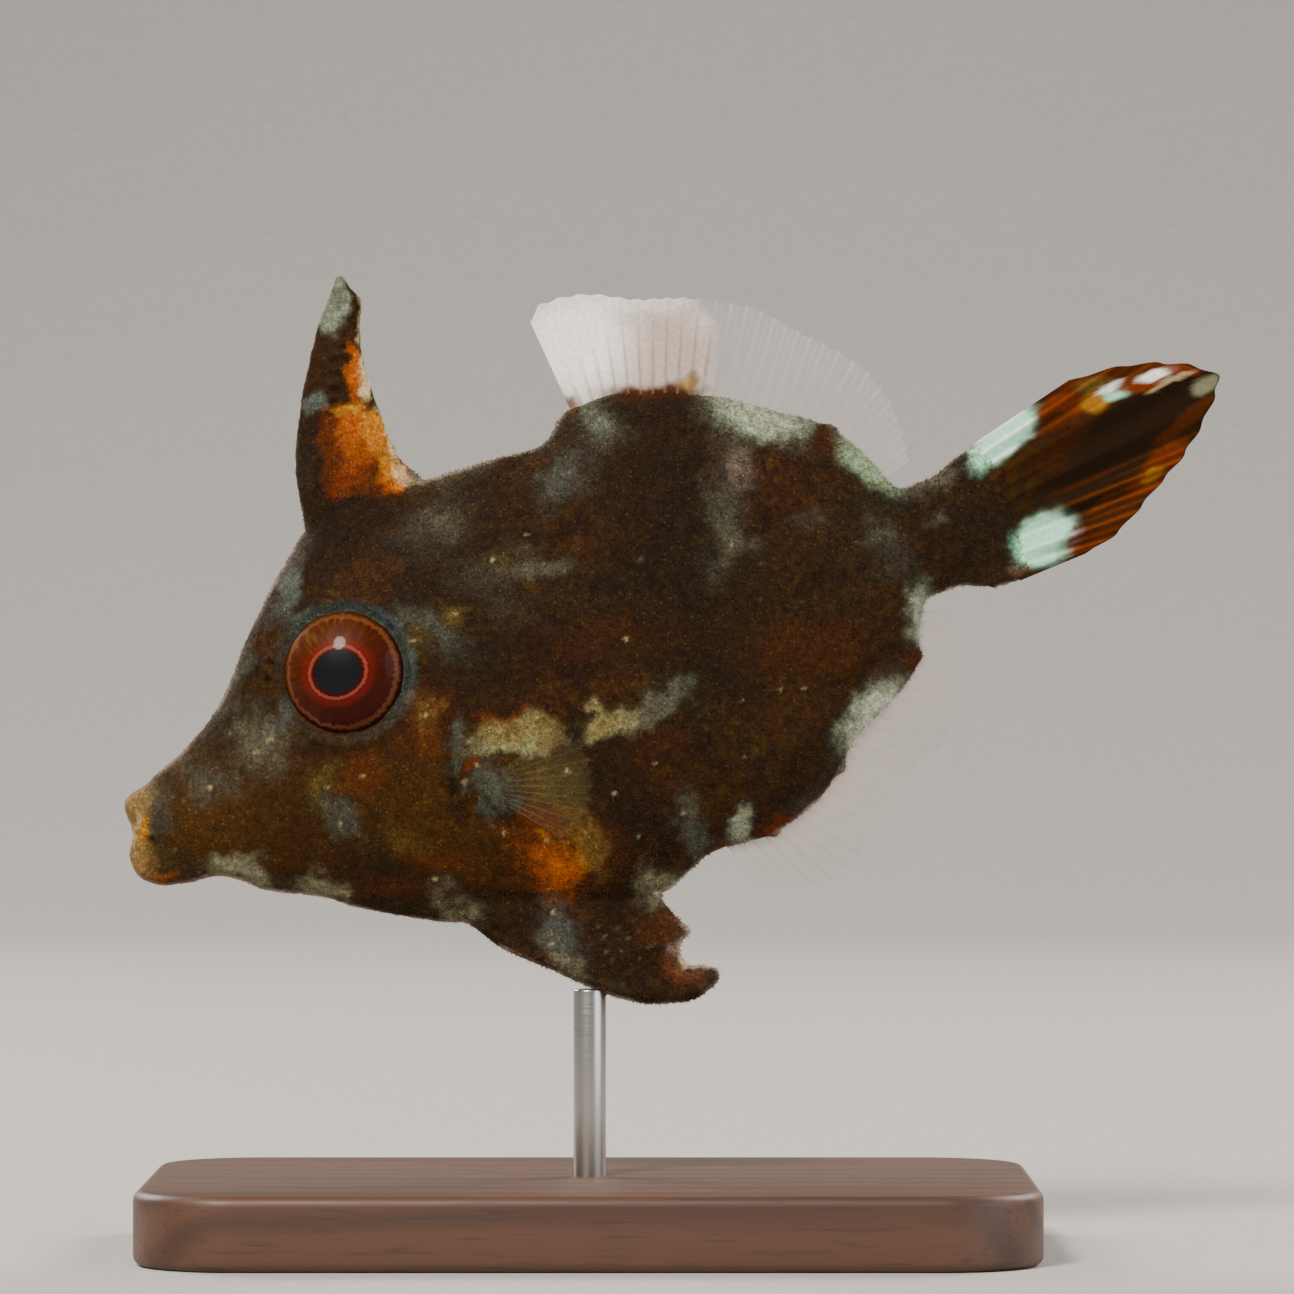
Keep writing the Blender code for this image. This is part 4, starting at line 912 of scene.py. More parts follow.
def oiled_walnut():
    """Walnut, planed and oiled: brown growth rings along the block, fine open pores and a soft shine."""
    material, shader = started("oiled_walnut", IOR=1.5, Coat_Weight=0.1, Coat_Roughness=0.35)
    place = added(material, "TexCoord").outputs["Object"]
    grain_way = added(material, "Mapping", {
        "Vector": place, "Location": (0.0, 0.13, 0.09), "Scale": (0.12, 1.0, 1.0),
    })
    warp = added(material, "TexNoise", {
        "Vector": grain_way.outputs["Vector"], "Scale": every(16.0), "Detail": 4.0,
    })
    rings = added(material, "TexWave", {
        "Vector": grain_way.outputs["Vector"], "Scale": every(11.0), "Distortion": 5.0, "Detail": 3.0,
        "Detail Scale": 1.5,
    }, wave_type="RINGS", rings_direction="X")
    tone = added(material, "Math", {
        0: rings.outputs["Fac"],
        1: added(material, "Math", {0: warp.outputs["Fac"], 1: 0.6}, operation="MULTIPLY").outputs[0],
    }, operation="ADD")
    wood = stepped(material, tone.outputs[0], ((0.2, "3e271c"), (0.6, "482e1f"), (1.0, "523524")))
    pores = added(material, "Mapping", {"Vector": place, "Scale": (0.08, 1.0, 1.0)})
    pores = added(material, "TexNoise", {
        "Vector": pores.outputs["Vector"], "Scale": every(0.38), "Detail": 2.0,
    })
    dark = added(material, "MapRange", {
        "Value": pores.outputs["Fac"], "From Min": 0.3, "From Max": 0.45, "To Min": 0.7,
    })
    pored = added(material, "Mix", {
        "Factor": 1.0, "A": wood, "B": dark.outputs["Result"],
    }, data_type="RGBA", blend_type="MULTIPLY")
    wired(material, shader, Base_Color=pored.outputs["Result"])
    rough = added(material, "MapRange", {"Value": pores.outputs["Fac"], "To Min": 0.62, "To Max": 0.42})
    wired(material, shader, Roughness=rough.outputs["Result"])
    bump = added(material, "Bump", {"Height": dark.outputs["Result"], "Strength": 0.3, "Distance": 0.00006})
    return wired(material, shader, Normal=bump.outputs["Normal"])


def brushed_steel():
    """Stainless rod, brushed round its length: fine rings that smear the highlight."""
    material, shader = started("brushed_steel", Metallic=1.0)
    shader.inputs["Base Color"].default_value = tinted("b4b2ac")
    place = added(material, "TexCoord").outputs["Object"]
    rings = added(material, "Mapping", {"Vector": place, "Scale": (0.05, 0.05, 1.0)})
    rings = added(material, "TexNoise", {
        "Vector": rings.outputs["Vector"], "Scale": every(0.11), "Detail": 3.0,
    })
    rough = added(material, "MapRange", {"Value": rings.outputs["Fac"], "To Min": 0.22, "To Max": 0.42})
    wired(material, shader, Roughness=rough.outputs["Result"])
    bump = added(material, "Bump", {"Height": rings.outputs["Fac"], "Strength": 0.15, "Distance": 0.00003})
    return wired(material, shader, Normal=bump.outputs["Normal"])


def studio_paper():
    """The seamless paper of the studio, matt and even."""
    material, shader = started("studio_paper", Roughness=0.95)
    place = added(material, "TexCoord").outputs["Object"]
    fibres = added(material, "TexNoise", {"Vector": place, "Scale": every(1.4), "Detail": 4.0})
    paper = stepped(material, fibres.outputs["Fac"], ((0.3, "aeaca8"), (0.7, "b4b2ae")))
    return wired(material, shader, Base_Color=paper)


# The skin

def flesh():
    """Head, body and tail stalk in one, without flap, lips and spine."""
    return loft("flesh", [flesh_ring(at) for at in np.linspace(*FLESH_ENDS, FLESH_RINGS)])


def flap():
    """The pelvic flap, rooted in the belly: thick at the bone in front and thin behind."""
    share = np.linspace(0, 1, FLAP_COLUMNS)
    fullness = smooth_line(FLAP_FULLNESS, share)
    rings = []
    for height in np.linspace(FLAP_FRONT[0][0], FLAP_FRONT[-1][0], FLAP_ROWS):
        front, rear, half = (
            smooth_line([(-h, size) for h, size in line], -height)
            for line in (FLAP_FRONT, FLAP_REAR, FLAP_HALF_WIDTH)
        )
        along = front + (rear - front) * share
        left = np.stack([along, -half * fullness, np.full(FLAP_COLUMNS, height)], axis=1)
        rings.append(np.concatenate([left, left[::-1] * (1, -1, 1)]))
    return loft("flap", rings)


def lip(table):
    """One lip, or the seam between them, rooted in the snout."""
    return loft("lip", [
        lens_ring(x, top, low, (top + low) / 2, half, LIP_POWER, LIP_SIDES)
        for x, top, low, half in finer(table, LIP_ROWS)
    ])


def spine_rings():
    """Outlines across the first dorsal spine, from its sunken root to its tip."""
    fore, aft = evenly(SPINE_FRONT, SPINE_ROWS), evenly(SPINE_REAR, SPINE_ROWS)
    down = (fore[0] - fore[1]) / np.linalg.norm(fore[0] - fore[1]) * SPINE_ROOT_DEPTH
    fore, aft = np.concatenate([[fore[0] + down], fore]), np.concatenate([[aft[0] + down], aft])
    half = np.linspace(*SPINE_HALF_WIDTH, len(fore))
    turn = np.arange(SPINE_SIDES) * 2 * math.pi / SPINE_SIDES
    rings = []
    for f, a, h in zip(fore, aft, half):
        middle, reach = (f + a) / 2, (a - f) / 2
        x, z = (middle[k] + reach[k] * np.cos(turn) for k in (0, 1))
        rings.append(np.stack([x, h * np.sin(turn), z], axis=1))
    long, half = SPINE_TIP_SIZE
    height = np.full(SPINE_SIDES, SPINE_TIP[1])
    tip = np.stack([SPINE_TIP[0] + long * np.cos(turn), half * np.sin(turn), height], axis=1)
    return rings + [tip]


def web():
    """The web of skin from the spine down to the back, a little wavy."""
    fore, aft = evenly(SPINE_REAR, 40), evenly(WEB_REAR, 40)
    share = np.linspace(-0.15, 1, 16)
    rings = []
    for row, (f, a) in enumerate(zip(fore, aft)):
        a = a + 0.32 * (a - f) / max(np.linalg.norm(a - f), 0.4)
        x, z = (f[k] + (a[k] - f[k]) * share for k in (0, 1))
        if row == 0:
            z = z - 1.0
        half = np.interp(share, (0, 0.6, 1), (0.5, 0.45, 0.36))
        swing = 0.18 * np.sin(row * 0.42) * np.clip(share, 0, 1)
        left = np.stack([x, swing - half, z], axis=1)
        right = np.stack([x, swing + half, z], axis=1)
        rings.append(np.concatenate([left, right[::-1]]))
    return loft("web", rings)


def pectoral_lobe(side):
    """The fleshy lobe that carries one pectoral fin."""
    x, z = PECTORAL_ROOT
    along, across, up = PECTORAL_BASE
    turn = np.arange(24) * 2 * math.pi / 24
    rings = []
    for tilt in np.linspace(0.05, math.pi - 0.05, 16):
        ring = math.sin(tilt) * np.stack([along * np.cos(turn), across * np.sin(turn), 0 * turn], axis=1)
        rings.append(ring + (x, side * skin_width(x, z), z + up * math.cos(tilt)))
    return loft("lobe", rings)


def eye_place(side):
    """Where one eye sits: its own +Z looks outwards, turned a little forwards and upwards."""
    x, y, z = EYE_MIDDLE
    forwards, upwards = (math.radians(angle) for angle in EYE_TURN)
    turn = Matrix.Rotation(-side * (math.pi / 2 - upwards), 4, "X")
    turn = Matrix.Rotation(side * forwards, 4, "Z") @ turn
    carrier = Matrix.Translation(MOUTH_PLACE) @ Matrix.Rotation(-HEAD_DOWN, 4, "Y")
    return Matrix.Scale(MM, 4) @ carrier @ Matrix.Translation((x, side * y, z)) @ turn


def through(matrix, points):
    """Points after a 4 x 4 matrix."""
    matrix = np.array(matrix)
    return points @ matrix[:3, :3].T + matrix[:3, 3]


def eyeball_height(radius):
    """How far the plain eyeball stands along its axis, at a distance from that axis."""
    return EYE_DEPTH * np.sqrt(np.clip(1 - (radius / EYE_RADIUS) ** 2, 0, 1))


def lidded(points, side):
    """The skin sunk under one eyeball and drawn up to it in a low round lid."""
    place = eye_place(side)
    local = through(place.inverted(), points)
    radius = np.hypot(local[:, 0], local[:, 1])
    height = local[:, 2]
    sunk = LID_SINK * eased(LID_EDGE, LID_EDGE - LID_SINK_WIDTH, radius)
    seat = eyeball_height(np.minimum(radius, LID_EDGE)) - sunk
    lid = height + (seat - height) * eased(LID_EDGE + LID_WIDTH, LID_EDGE, radius)
    lid = lid + LID_RISE * np.exp(-(((radius - LID_EDGE - LID_WIDTH) / LID_ROUND) ** 2))
    wanted = np.where(radius < LID_EDGE, np.minimum(seat, height), lid)
    wanted = np.where((radius < LID_EDGE) & (radius > LID_EDGE - LID_CONTACT), seat, wanted)
    near = (height > EYE_BACK) & (radius < LID_EDGE + LID_REACH)
    local[:, 2] = np.where(near, wanted, height)
    return through(place, local)


def line_distance(places, line):
    """How far places, as (distance, height), are from a line through points."""
    nearest = np.full(len(places), 1e9)
    for a, b in zip(np.array(line[:-1], float), np.array(line[1:], float)):
        along = np.clip(((places - a) @ (b - a)) / ((b - a) @ (b - a)), 0, 1)
        nearest = np.minimum(nearest, np.linalg.norm(places - a - along[:, None] * (b - a), axis=1))
    return nearest


def crease(away, groove, fold):
    """How far a groove sinks the skin, and the soft fold beside it lifts it, at distances from its line."""
    (depth, edge, floor), (rise, middle, width) = groove, fold
    return rise * np.exp(-(((away - middle) / width) ** 2)) - depth * eased(edge, floor, away)


def relief(points, normals):
    """How far fine forms lift or sink the skin, in millimetres: slits, nostrils, papillae and velvet."""
    fish = on_fish(points)
    flank = fish[:, [0, 2]]
    level = eased(0.35, 0.7, np.abs(normals[:, 1]))
    rise = level * crease(line_distance(flank, GILL_SLIT), *SLIT_CREASE)
    rise += crease(line_distance(flank, MOUTH_LINE), *MOUTH_CREASE)
    for nostril in NOSTRILS:
        rise += level * crease(np.hypot(*(flank - nostril).T), *NOSTRIL_CREASE)
    x, y = photo_places(points)
    for places, (most, spread), share in ((FLECKS, FLECK_BUMP, level), (TEETH, TOOTH_BUMP, 1 - level)):
        for px, py in places:
            rise += most * share * np.exp(-(((x - px) ** 2 + (y - py) ** 2) / spread ** 2))
    coarse, fine = wandering(points, 1.3, 5)[0], wandering(points, 0.42, 6)[0]
    return rise + ROUGHNESS[0] * coarse + ROUGHNESS[1] * fine


def skin():
    """The whole skin in one piece, with its fine forms and its markings."""
    lobes = [pectoral_lobe(side) for side in (-1, 1)]
    pieces = [flesh(), flap(), lip(UPPER_LIP), lip(LOWER_LIP), lip(MOUTH_SEAM)]
    pieces += [loft("spine", spine_rings()), web(), barbs()]
    whole = joined("velvet_skin", pieces + lobes)
    modified(whole, "REMESH", mode="VOXEL", voxel_size=VOXEL * MM, use_smooth_shade=True)
    modified(whole, "SMOOTH", factor=0.5, iterations=3)
    points = points_of(whole) - normals_of(whole) * COAT_DEPTH * MM
    for side in (-1, 1):
        points = lidded(points, side)
    moved_to(whole, points)
    normals = normals_of(whole)
    moved_to(whole, points + normals * relief(points, normals)[:, None] * MM)
    bpy.ops.object.shade_smooth()
    points, normals = points_of(whole), normals_of(whole)
    colour_on(whole, "markings", *skin_colours(points, normals))
    return whole


# The coat

def surface_draw(piece, count, seed):
    """Random places on the piece, even over its area: points, normals and the dice that drew them."""
    piece.data.calc_loop_triangles()
    corners = np.array([t.vertices[:] for t in piece.data.loop_triangles])
    points, normals = points_of(piece), normals_of(piece)
    a, b, c = (points[corners[:, k]] for k in (0, 1, 2))
    area = np.linalg.norm(np.cross(b - a, c - a), axis=1)
    dice = np.random.default_rng(seed)
    drawn = dice.choice(len(corners), size=count, p=area / area.sum())
    p, q = dice.random((2, count, 1))
    flip = p + q > 1
    p, q = np.where(flip, 1 - p, p), np.where(flip, 1 - q, q)
    at = a[drawn] + (b[drawn] - a[drawn]) * p + (c[drawn] - a[drawn]) * q
    facing = normals[corners[drawn]].sum(axis=1)
    return at, facing / np.linalg.norm(facing, axis=1, keepdims=True), dice


def clear_of_eyes(points):
    """Which points aren't under or on an eyeball."""
    clear = np.ones(len(points), bool)
    for side in (-1, 1):
        local = through(eye_place(side).inverted(), points)
        clear &= (np.hypot(local[:, 0], local[:, 1]) > LID_EDGE + 0.1) | (local[:, 2] < EYE_BACK)
    return clear


def unwrapped(points):
    """A place on a flat unwrap of the fish for each point: along it, and round it from the belly."""
    fish = on_fish(points)
    along = 0.02 + 0.96 * (fish[:, 0] + 1.2) / 68
    middle = smooth_line(SIDE_LINE, fish[:, 0])
    around = 0.5 + np.arctan2(fish[:, 1] * 2.6, fish[:, 2] - middle) / (2 * math.pi) * 0.96
    return np.stack([along, around], axis=1)


def coat_size(points):
    """How long and thick the prickles are, as a share of the longest: least on the lips, face and spine."""
    fish = on_fish(points)
    face = np.interp(fish[:, 0], (1.0, 4.0, 16.0, 26.0), (0.45, 0.65, 0.8, 1.0))
    return face * (1 - 0.45 * eased(16.5, 19.0, fish[:, 2]))


def prickles(name, base, seed):
    """One coat piece: small closed spikes that lean back along the skin, coloured as it is at their roots."""
    roots, facing, dice = surface_draw(base, PRICKLES, seed)
    kept = clear_of_eyes(roots)
    roots, facing = roots[kept], facing[kept]
    count = len(roots)
    tailwards = np.array([math.cos(HEAD_DOWN), 0.0, math.sin(HEAD_DOWN)])
    stray = dice.normal(0, PRICKLE_STRAY, (count, 3))
    lean = facing + PRICKLE_LEAN * (tailwards - facing * (facing @ tailwards)[:, None]) + stray
    lean /= np.linalg.norm(lean, axis=1, keepdims=True)
    across = np.cross(lean, np.where(np.abs(lean[:, 2:]) < 0.8, (0, 0, 1.0), (1.0, 0, 0)))
    across /= np.linalg.norm(across, axis=1, keepdims=True)
    over = np.cross(lean, across)
    size = dice.uniform(*PRICKLE_SIZES, (count, 1)) * coat_size(roots)[:, None] * MM
    spikes = np.empty((count, 4, 3))
    for k in range(3):
        turn = 2 * math.pi * k / 3
        ring = across * math.cos(turn) + over * math.sin(turn)
        spikes[:, k] = roots - facing * PRICKLE_SUNK * MM + ring * PRICKLE_WIDTH * size
    spikes[:, 3] = roots + lean * PRICKLE_LENGTH * size
    start = 4 * np.arange(count)[:, None]
    faces = np.concatenate([start + k for k in ((0, 2, 1), (0, 1, 3), (1, 2, 3), (2, 0, 3))])
    coat = object_from(name, spikes.reshape(-1, 3), faces.tolist())
    colour, cover = skin_colours(roots, facing)
    colour_on(coat, "markings", np.repeat(colour, 4, axis=0), np.repeat(cover, 4))
    float_on(coat, "tip", np.tile((0.0, 0.0, 0.0, 1.0), count))
    places = (unwrapped(roots)[:, None] + np.array(BAKE_PATCH)).reshape(-1, 2)
    used = np.empty(len(coat.data.loops), int)
    coat.data.loops.foreach_get("vertex_index", used)
    coat.data.uv_layers.new(name="OFBake").data.foreach_set("uv", places[used].ravel())
    return coat


def barbs():
    """The hooks down both rear corners of the spine."""
    fore, aft = evenly(SPINE_FRONT, 100), evenly(SPINE_REAR, 100)
    made = []
    for share in np.linspace(*BARB_SPAN, BARBS):
        row = int(share * 99)
        half = np.interp(share, (0, 1), SPINE_HALF_WIDTH)
        x, z = aft[row] + BARB_INSET * (fore[row] - aft[row])
        for side in (-1, 1):
            start = placed([(x, side * half * 0.7, z)])[0]
            end = placed([(x + 0.78, side * half * 1.5, z - 0.42)])[0]
            way = Vector(end - start)
            bpy.ops.mesh.primitive_cone_add(
                vertices=10, radius1=BARB_RADIUS * MM, radius2=0.02 * MM, depth=way.length,
                location=Vector(start + end) / 2, rotation=way.to_track_quat("Z", "Y").to_euler(),
            )
            made.append(bpy.context.object)
    whole = joined("barbs", made)
    bpy.ops.object.transform_apply()
    return whole


# Eyes

def eye(side):
    """One eyeball, turned from its profile: a flat ball with the cornea standing a little proud."""
    name = "eye_left_ball" if side < 0 else "eye_right_ball"
    angles = np.linspace(0, EYE_CURVE, EYE_ROWS)
    height = EYE_DEPTH * np.cos(angles) + CORNEA_RISE * np.exp(-((angles / CORNEA_SPREAD) ** 2))
    profile = np.stack([EYE_RADIUS * np.sin(angles), 0 * angles, height], axis=1)
    ball = object_from(name, profile, (), [(i, i + 1) for i in range(EYE_ROWS - 1)])
    bpy.ops.object.mode_set(mode="EDIT")
    bpy.ops.mesh.select_all(action="SELECT")
    bpy.ops.mesh.spin(steps=EYE_TURNS, angle=2 * math.pi, center=(0, 0, 0), axis=(0, 0, 1))
    bpy.ops.mesh.select_all(action="SELECT")
    bpy.ops.mesh.remove_doubles(threshold=1e-4)
    bpy.ops.mesh.select_all(action="DESELECT")
    bpy.ops.mesh.select_non_manifold()
    bpy.ops.mesh.edge_face_add()
    bpy.ops.mesh.select_all(action="SELECT")
    bpy.ops.mesh.normals_make_consistent(inside=False)
    bpy.ops.object.mode_set(mode="OBJECT")
    bpy.ops.object.shade_smooth()
    local = points_of(ball)
    seen = local * (1, -side, 1)
    ball.data.attributes.new("eye_place", "FLOAT_VECTOR", "POINT").data.foreach_set("vector", seen.ravel())
    return moved_to(ball, through(eye_place(side), local))


# Fins

def sheet(name, grid, half):
    """A closed thin sheet: a grid of middle points, each with a half thickness across the body."""
    rows, columns = half.shape
    both = np.concatenate([(grid + way * half[..., None] * (0, 1, 0)).reshape(-1, 3) for way in (-1, 1)])
    index = np.arange(rows * columns).reshape(rows, columns)
    quads = np.stack([index[:-1, :-1], index[:-1, 1:], index[1:, 1:], index[1:, :-1]], axis=-1).reshape(-1, 4)
    faces = quads.tolist() + (quads[:, ::-1] + rows * columns).tolist()
    rim = np.concatenate([index[0], index[1:, -1], index[-1, -2::-1], index[-2:0:-1, 0]])
    for i, j in zip(rim, np.roll(rim, -1)):
        faces.append((i, j, j + rows * columns, i + rows * columns))
    made = turned_outwards(object_from(name, placed(both), faces))
    bpy.ops.object.shade_smooth()
    return made


def rayed_fin(name, roots, tips, sway, rows=40, notch=0.3):
    """A fin whose rays swell from the film and fork towards its edge.

    roots and tips are (distance, height) for each ray. sway gives how far across the body a point stands,
    from its place among the rays and its share of the fin's reach. The fin comes with three numbers for each
    of its points: how much of a ray it is, its share of the reach and its place along the fin.
    """
    count = len(roots)
    columns = (count - 1) * COLUMNS_PER_RAY + 1
    at = np.linspace(0, count - 1, columns)
    root, tip = finer(roots, columns), finer(tips, columns)
    ray = np.cos(math.pi * at) ** 2
    reach = tip - root
    length = np.linalg.norm(reach, axis=1, keepdims=True)
    tip = tip - (1 - ray[:, None]) * reach / length * np.minimum(notch, length / 4)
    share = np.linspace(0, 1, rows + 1)[:, None]
    forked = eased(*FORK_SPAN, share)
    ridge = (1 - forked) * ray ** 5 + forked * np.cos(2 * math.pi * at) ** 6 * (0.4 + 0.6 * ray)
    flat = root[None] + (tip - root)[None] * share[..., None]
    across = sway(at / (count - 1), share)
    grid = np.stack([flat[..., 0], across, flat[..., 1]], axis=-1)
    half = MEMBRANE_HALF * (1 - 0.5 * share) + (RAY_HALF - MEMBRANE_HALF) * ridge * (1 - 0.65 * share)
    made = sheet(name, grid, half)
    reach, along = np.repeat(share, columns, axis=1), np.repeat((at / (count - 1))[None], rows + 1, axis=0)
    shares = dict(ray=ridge, reach=reach, along=along)
    return made, {name: np.tile(values.ravel(), 2) for name, values in shares.items()}


def edge_fin_rays(line, span, count, lengths, lean, up):
    """Roots and tips of the rays of a fin along the back, up being 1, or along the belly, up being -1."""
    distances = np.linspace(*span, 120)
    heights = smooth_line(line, distances)
    points = evenly(list(zip(distances, heights))[::6] + [(distances[-1], heights[-1])], count)
    chord = np.gradient(points, axis=0)
    kernel = np.ones(5) / 5
    chord = np.stack([np.convolve(np.pad(chord[:, k], 2, "edge"), kernel, "valid") for k in (0, 1)], axis=1)
    roots, tips = [], []
    for i, (point, run) in enumerate(zip(points, chord)):
        share = i / (count - 1)
        run = run / np.linalg.norm(run)
        out = np.array([-run[1], run[0]]) * up
        turn = math.radians(smooth_line(lean, share))
        direction = out * math.cos(turn) + run * math.sin(turn)
        root = point + out * 0.3
        roots.append(root - out * FIN_SUNK)
        tips.append(root + direction * smooth_line(lengths, share))
    return roots, tips


def wave(along, reach):
    """The ripple that runs along the soft dorsal and anal fins."""
    return WAVE_SWING * reach * np.sin(2 * math.pi * WAVES * along)[None]


def pleat(along, reach):
    """The folds of the half-closed tail fin."""
    folds = np.cos(math.pi * along * (len(CAUDAL_TIPS) - 1))[None]
    return CAUDAL_PLEAT * np.minimum(1.0, reach * 2.5) * folds


def retinted(piece, pigment, share):
    """The piece with more of one pigment in its markings."""
    stored = piece.data.attributes["markings"].data
    flat = np.empty(4 * len(stored))
    stored.foreach_get("color", flat)
    colour = flat.reshape(-1, 4)
    colour[:, :3] += (linear(PIGMENTS[pigment]) - colour[:, :3]) * np.clip(share, 0, 1)[:, None]
    stored.foreach_set("color", colour.ravel())
    return piece


def veiled(fin, marks, plain, opacity, ragged=0.35, soft=0.3):
    """The fin with its markings over a plain pigment, or over none, and with its opacity."""
    points = points_of(fin)
    colour, cover = marked(points, marks, ragged, soft)
    if plain:
        base = linear(PIGMENTS[plain])
        colour, cover = base + (colour - base) * cover[:, None], np.ones(len(points))
    colour_on(fin, "markings", colour, cover)
    float_on(fin, "opacity", np.clip(opacity, 0, 1))
    return fin


def soft_dorsal():
    """The soft dorsal fin: milky in front, where the light catches it, and clear behind."""
    roots, tips = edge_fin_rays(BACK_LINE, DORSAL_SPAN, DORSAL_RAYS, DORSAL_LENGTHS, DORSAL_LEAN, 1)
    made, kept = rayed_fin("soft_dorsal_film", roots, tips, wave, notch=0.12)
    x, y = photo_places(points_of(made))
    # Painted light: the fin is made opaque and milky white at its front, where the light catches the clear
    # film
    front = eased(722, 700, x + 0.7 * np.clip(325 - y, 0, 40))
    lit_front_opacity = front * (0.99 - 0.1 * eased(600, 700, x)) + (1 - front) * (0.05 + 0.16 * kept["ray"])
    veiled(made, FIN_MARKS, "milk", lit_front_opacity, 0.5, 0.5)
    drawn = 0.6 * kept["ray"] ** 2 * eased(1.15, 0.3, kept["reach"] + 0.5 * eased(640, 560, x))
    return retinted(made, "tan", drawn)


def anal():
    """The anal fin, clear but for its rays."""
    roots, tips = edge_fin_rays(BELLY_LINE, ANAL_SPAN, ANAL_RAYS, ANAL_LENGTHS, ANAL_LEAN, -1)
    made, kept = rayed_fin("anal_film", roots, tips, wave)
    root_rim = eased(0.3, 0.1, kept["reach"])
    return veiled(made, (), "rim", 0.06 + 0.2 * kept["ray"] + 0.2 * root_rim)


def tail():
    """The half-closed tail fin, painted ray by ray."""
    heights = np.linspace(*CAUDAL_ROOT, len(CAUDAL_TIPS))
    roots = [(CAUDAL_START, height) for height in heights]
    made, kept = rayed_fin("tail_film", roots, CAUDAL_TIPS, pleat, rows=60)
    veiled(made, TAIL_MARKS, None, 0.95 + 0.05 * kept["ray"])
    return striped(made, kept)


def striped(fin, kept):
    """The tail's rays picked out: white over the green, russet and dark towards both edges."""
    points = points_of(fin)
    upper, lower = (marked(points, ROOT_MARKS[k:k + 1], 0.35, 0.2)[1] for k in (0, 1))
    green = np.maximum(upper, lower)
    low, high = eased(0.5, 0.62, kept["along"]), eased(0.3, 0.2, kept["along"])
    edges = np.maximum(low, 0.6 * high) * (1 - green) * eased(0.1, 0.3, kept["reach"])
    retinted(fin, "snow", (0.95 * upper + 0.35 * lower) * kept["ray"] ** 0.7)
    retinted(fin, "copper", 0.5 * edges * kept["ray"])
    return retinted(fin, "umber", 0.65 * edges * (1 - kept["ray"]) ** 6)


def pectoral(side):
    """The clear fan of one pectoral fin, rooted in its fleshy lobe."""
    angles = np.radians(np.linspace(PECTORAL_FAN, -PECTORAL_FAN, PECTORAL_RAYS))
    high = [PECTORAL_BASE_HEIGHT * math.sin(a) / math.sin(angles[0]) for a in angles]
    lengths = smooth_line(PECTORAL_LENGTHS, np.linspace(0, 1, PECTORAL_RAYS))
    tips = [(n * math.cos(a), h + n * math.sin(a)) for n, a, h in zip(lengths, angles, high)]
    roots = [(0.25, h * 0.85) for h in high]
    name = "pectoral_film_left" if side < 0 else "pectoral_film_right"
    made, kept = rayed_fin(name, roots, tips, lambda along, reach: 0 * reach * along[None], rows=30)
    x, z = PECTORAL_ROOT
    turn = Matrix.Rotation(math.radians(side * PECTORAL_SPLAY), 4, "Z")
    droop = Matrix.Rotation(math.radians(PECTORAL_DROOP), 4, "Y")
    stand = Matrix.Translation((x + 0.3, side * (skin_width(x, z) + 0.45), z))
    fish = through(stand @ turn @ droop, on_fish(points_of(made)))
    moved_to(made, placed(fish))
    return veiled(made, (), "ivory", 0.03 + 0.1 * kept["ray"] * (1 - 0.6 * kept["reach"]))


# Stand and studio

def stand_base():
    """The walnut block, its corners rounded and its upper edge eased."""
    low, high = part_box("stand_base")
    bpy.ops.object.select_all(action="DESELECT")
    bpy.ops.mesh.primitive_cube_add(size=1, location=(low + high) / 2, scale=high - low)
    block = bpy.context.object
    block.name = "stand_block"
    bpy.ops.object.transform_apply()
    bpy.ops.object.mode_set(mode="EDIT")
    bpy.ops.mesh.select_mode(type="EDGE")
    bpy.ops.mesh.select_all(action="DESELECT")
    bpy.ops.object.mode_set(mode="OBJECT")
    for edge in block.data.edges:
        ends = [block.data.vertices[i].co.z for i in edge.vertices]
        edge.select = abs(ends[0] - ends[1]) > MM
    bpy.ops.object.mode_set(mode="EDIT")
    bpy.ops.mesh.bevel(offset=BASE_CORNER * MM, segments=16, affect="EDGES")
    bpy.ops.object.mode_set(mode="OBJECT")
    modified(block, "BEVEL", width=BASE_EDGE * MM, segments=5, limit_method="ANGLE", angle_limit=BEVEL_ANGLE)
    bpy.ops.object.shade_smooth_by_angle(angle=SMOOTH_ANGLE)
    return block


def stand_rod():
    """The steel rod, up to the lower edge of the pelvic flap."""
    low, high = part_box("stand_rod")
    bpy.ops.object.select_all(action="DESELECT")
    bpy.ops.mesh.primitive_cylinder_add(
        vertices=72, radius=ROD_RADIUS * MM, depth=high.z - low.z, location=(low + high) / 2,
    )
    rod = bpy.context.object
    rod.name = "stand_pin"
    bpy.ops.object.transform_apply()
    modified(rod, "BEVEL", width=ROD_EDGE * MM, segments=3, limit_method="ANGLE", angle_limit=BEVEL_ANGLE)
    bpy.ops.object.shade_smooth_by_angle(angle=SMOOTH_ANGLE)
    return rod


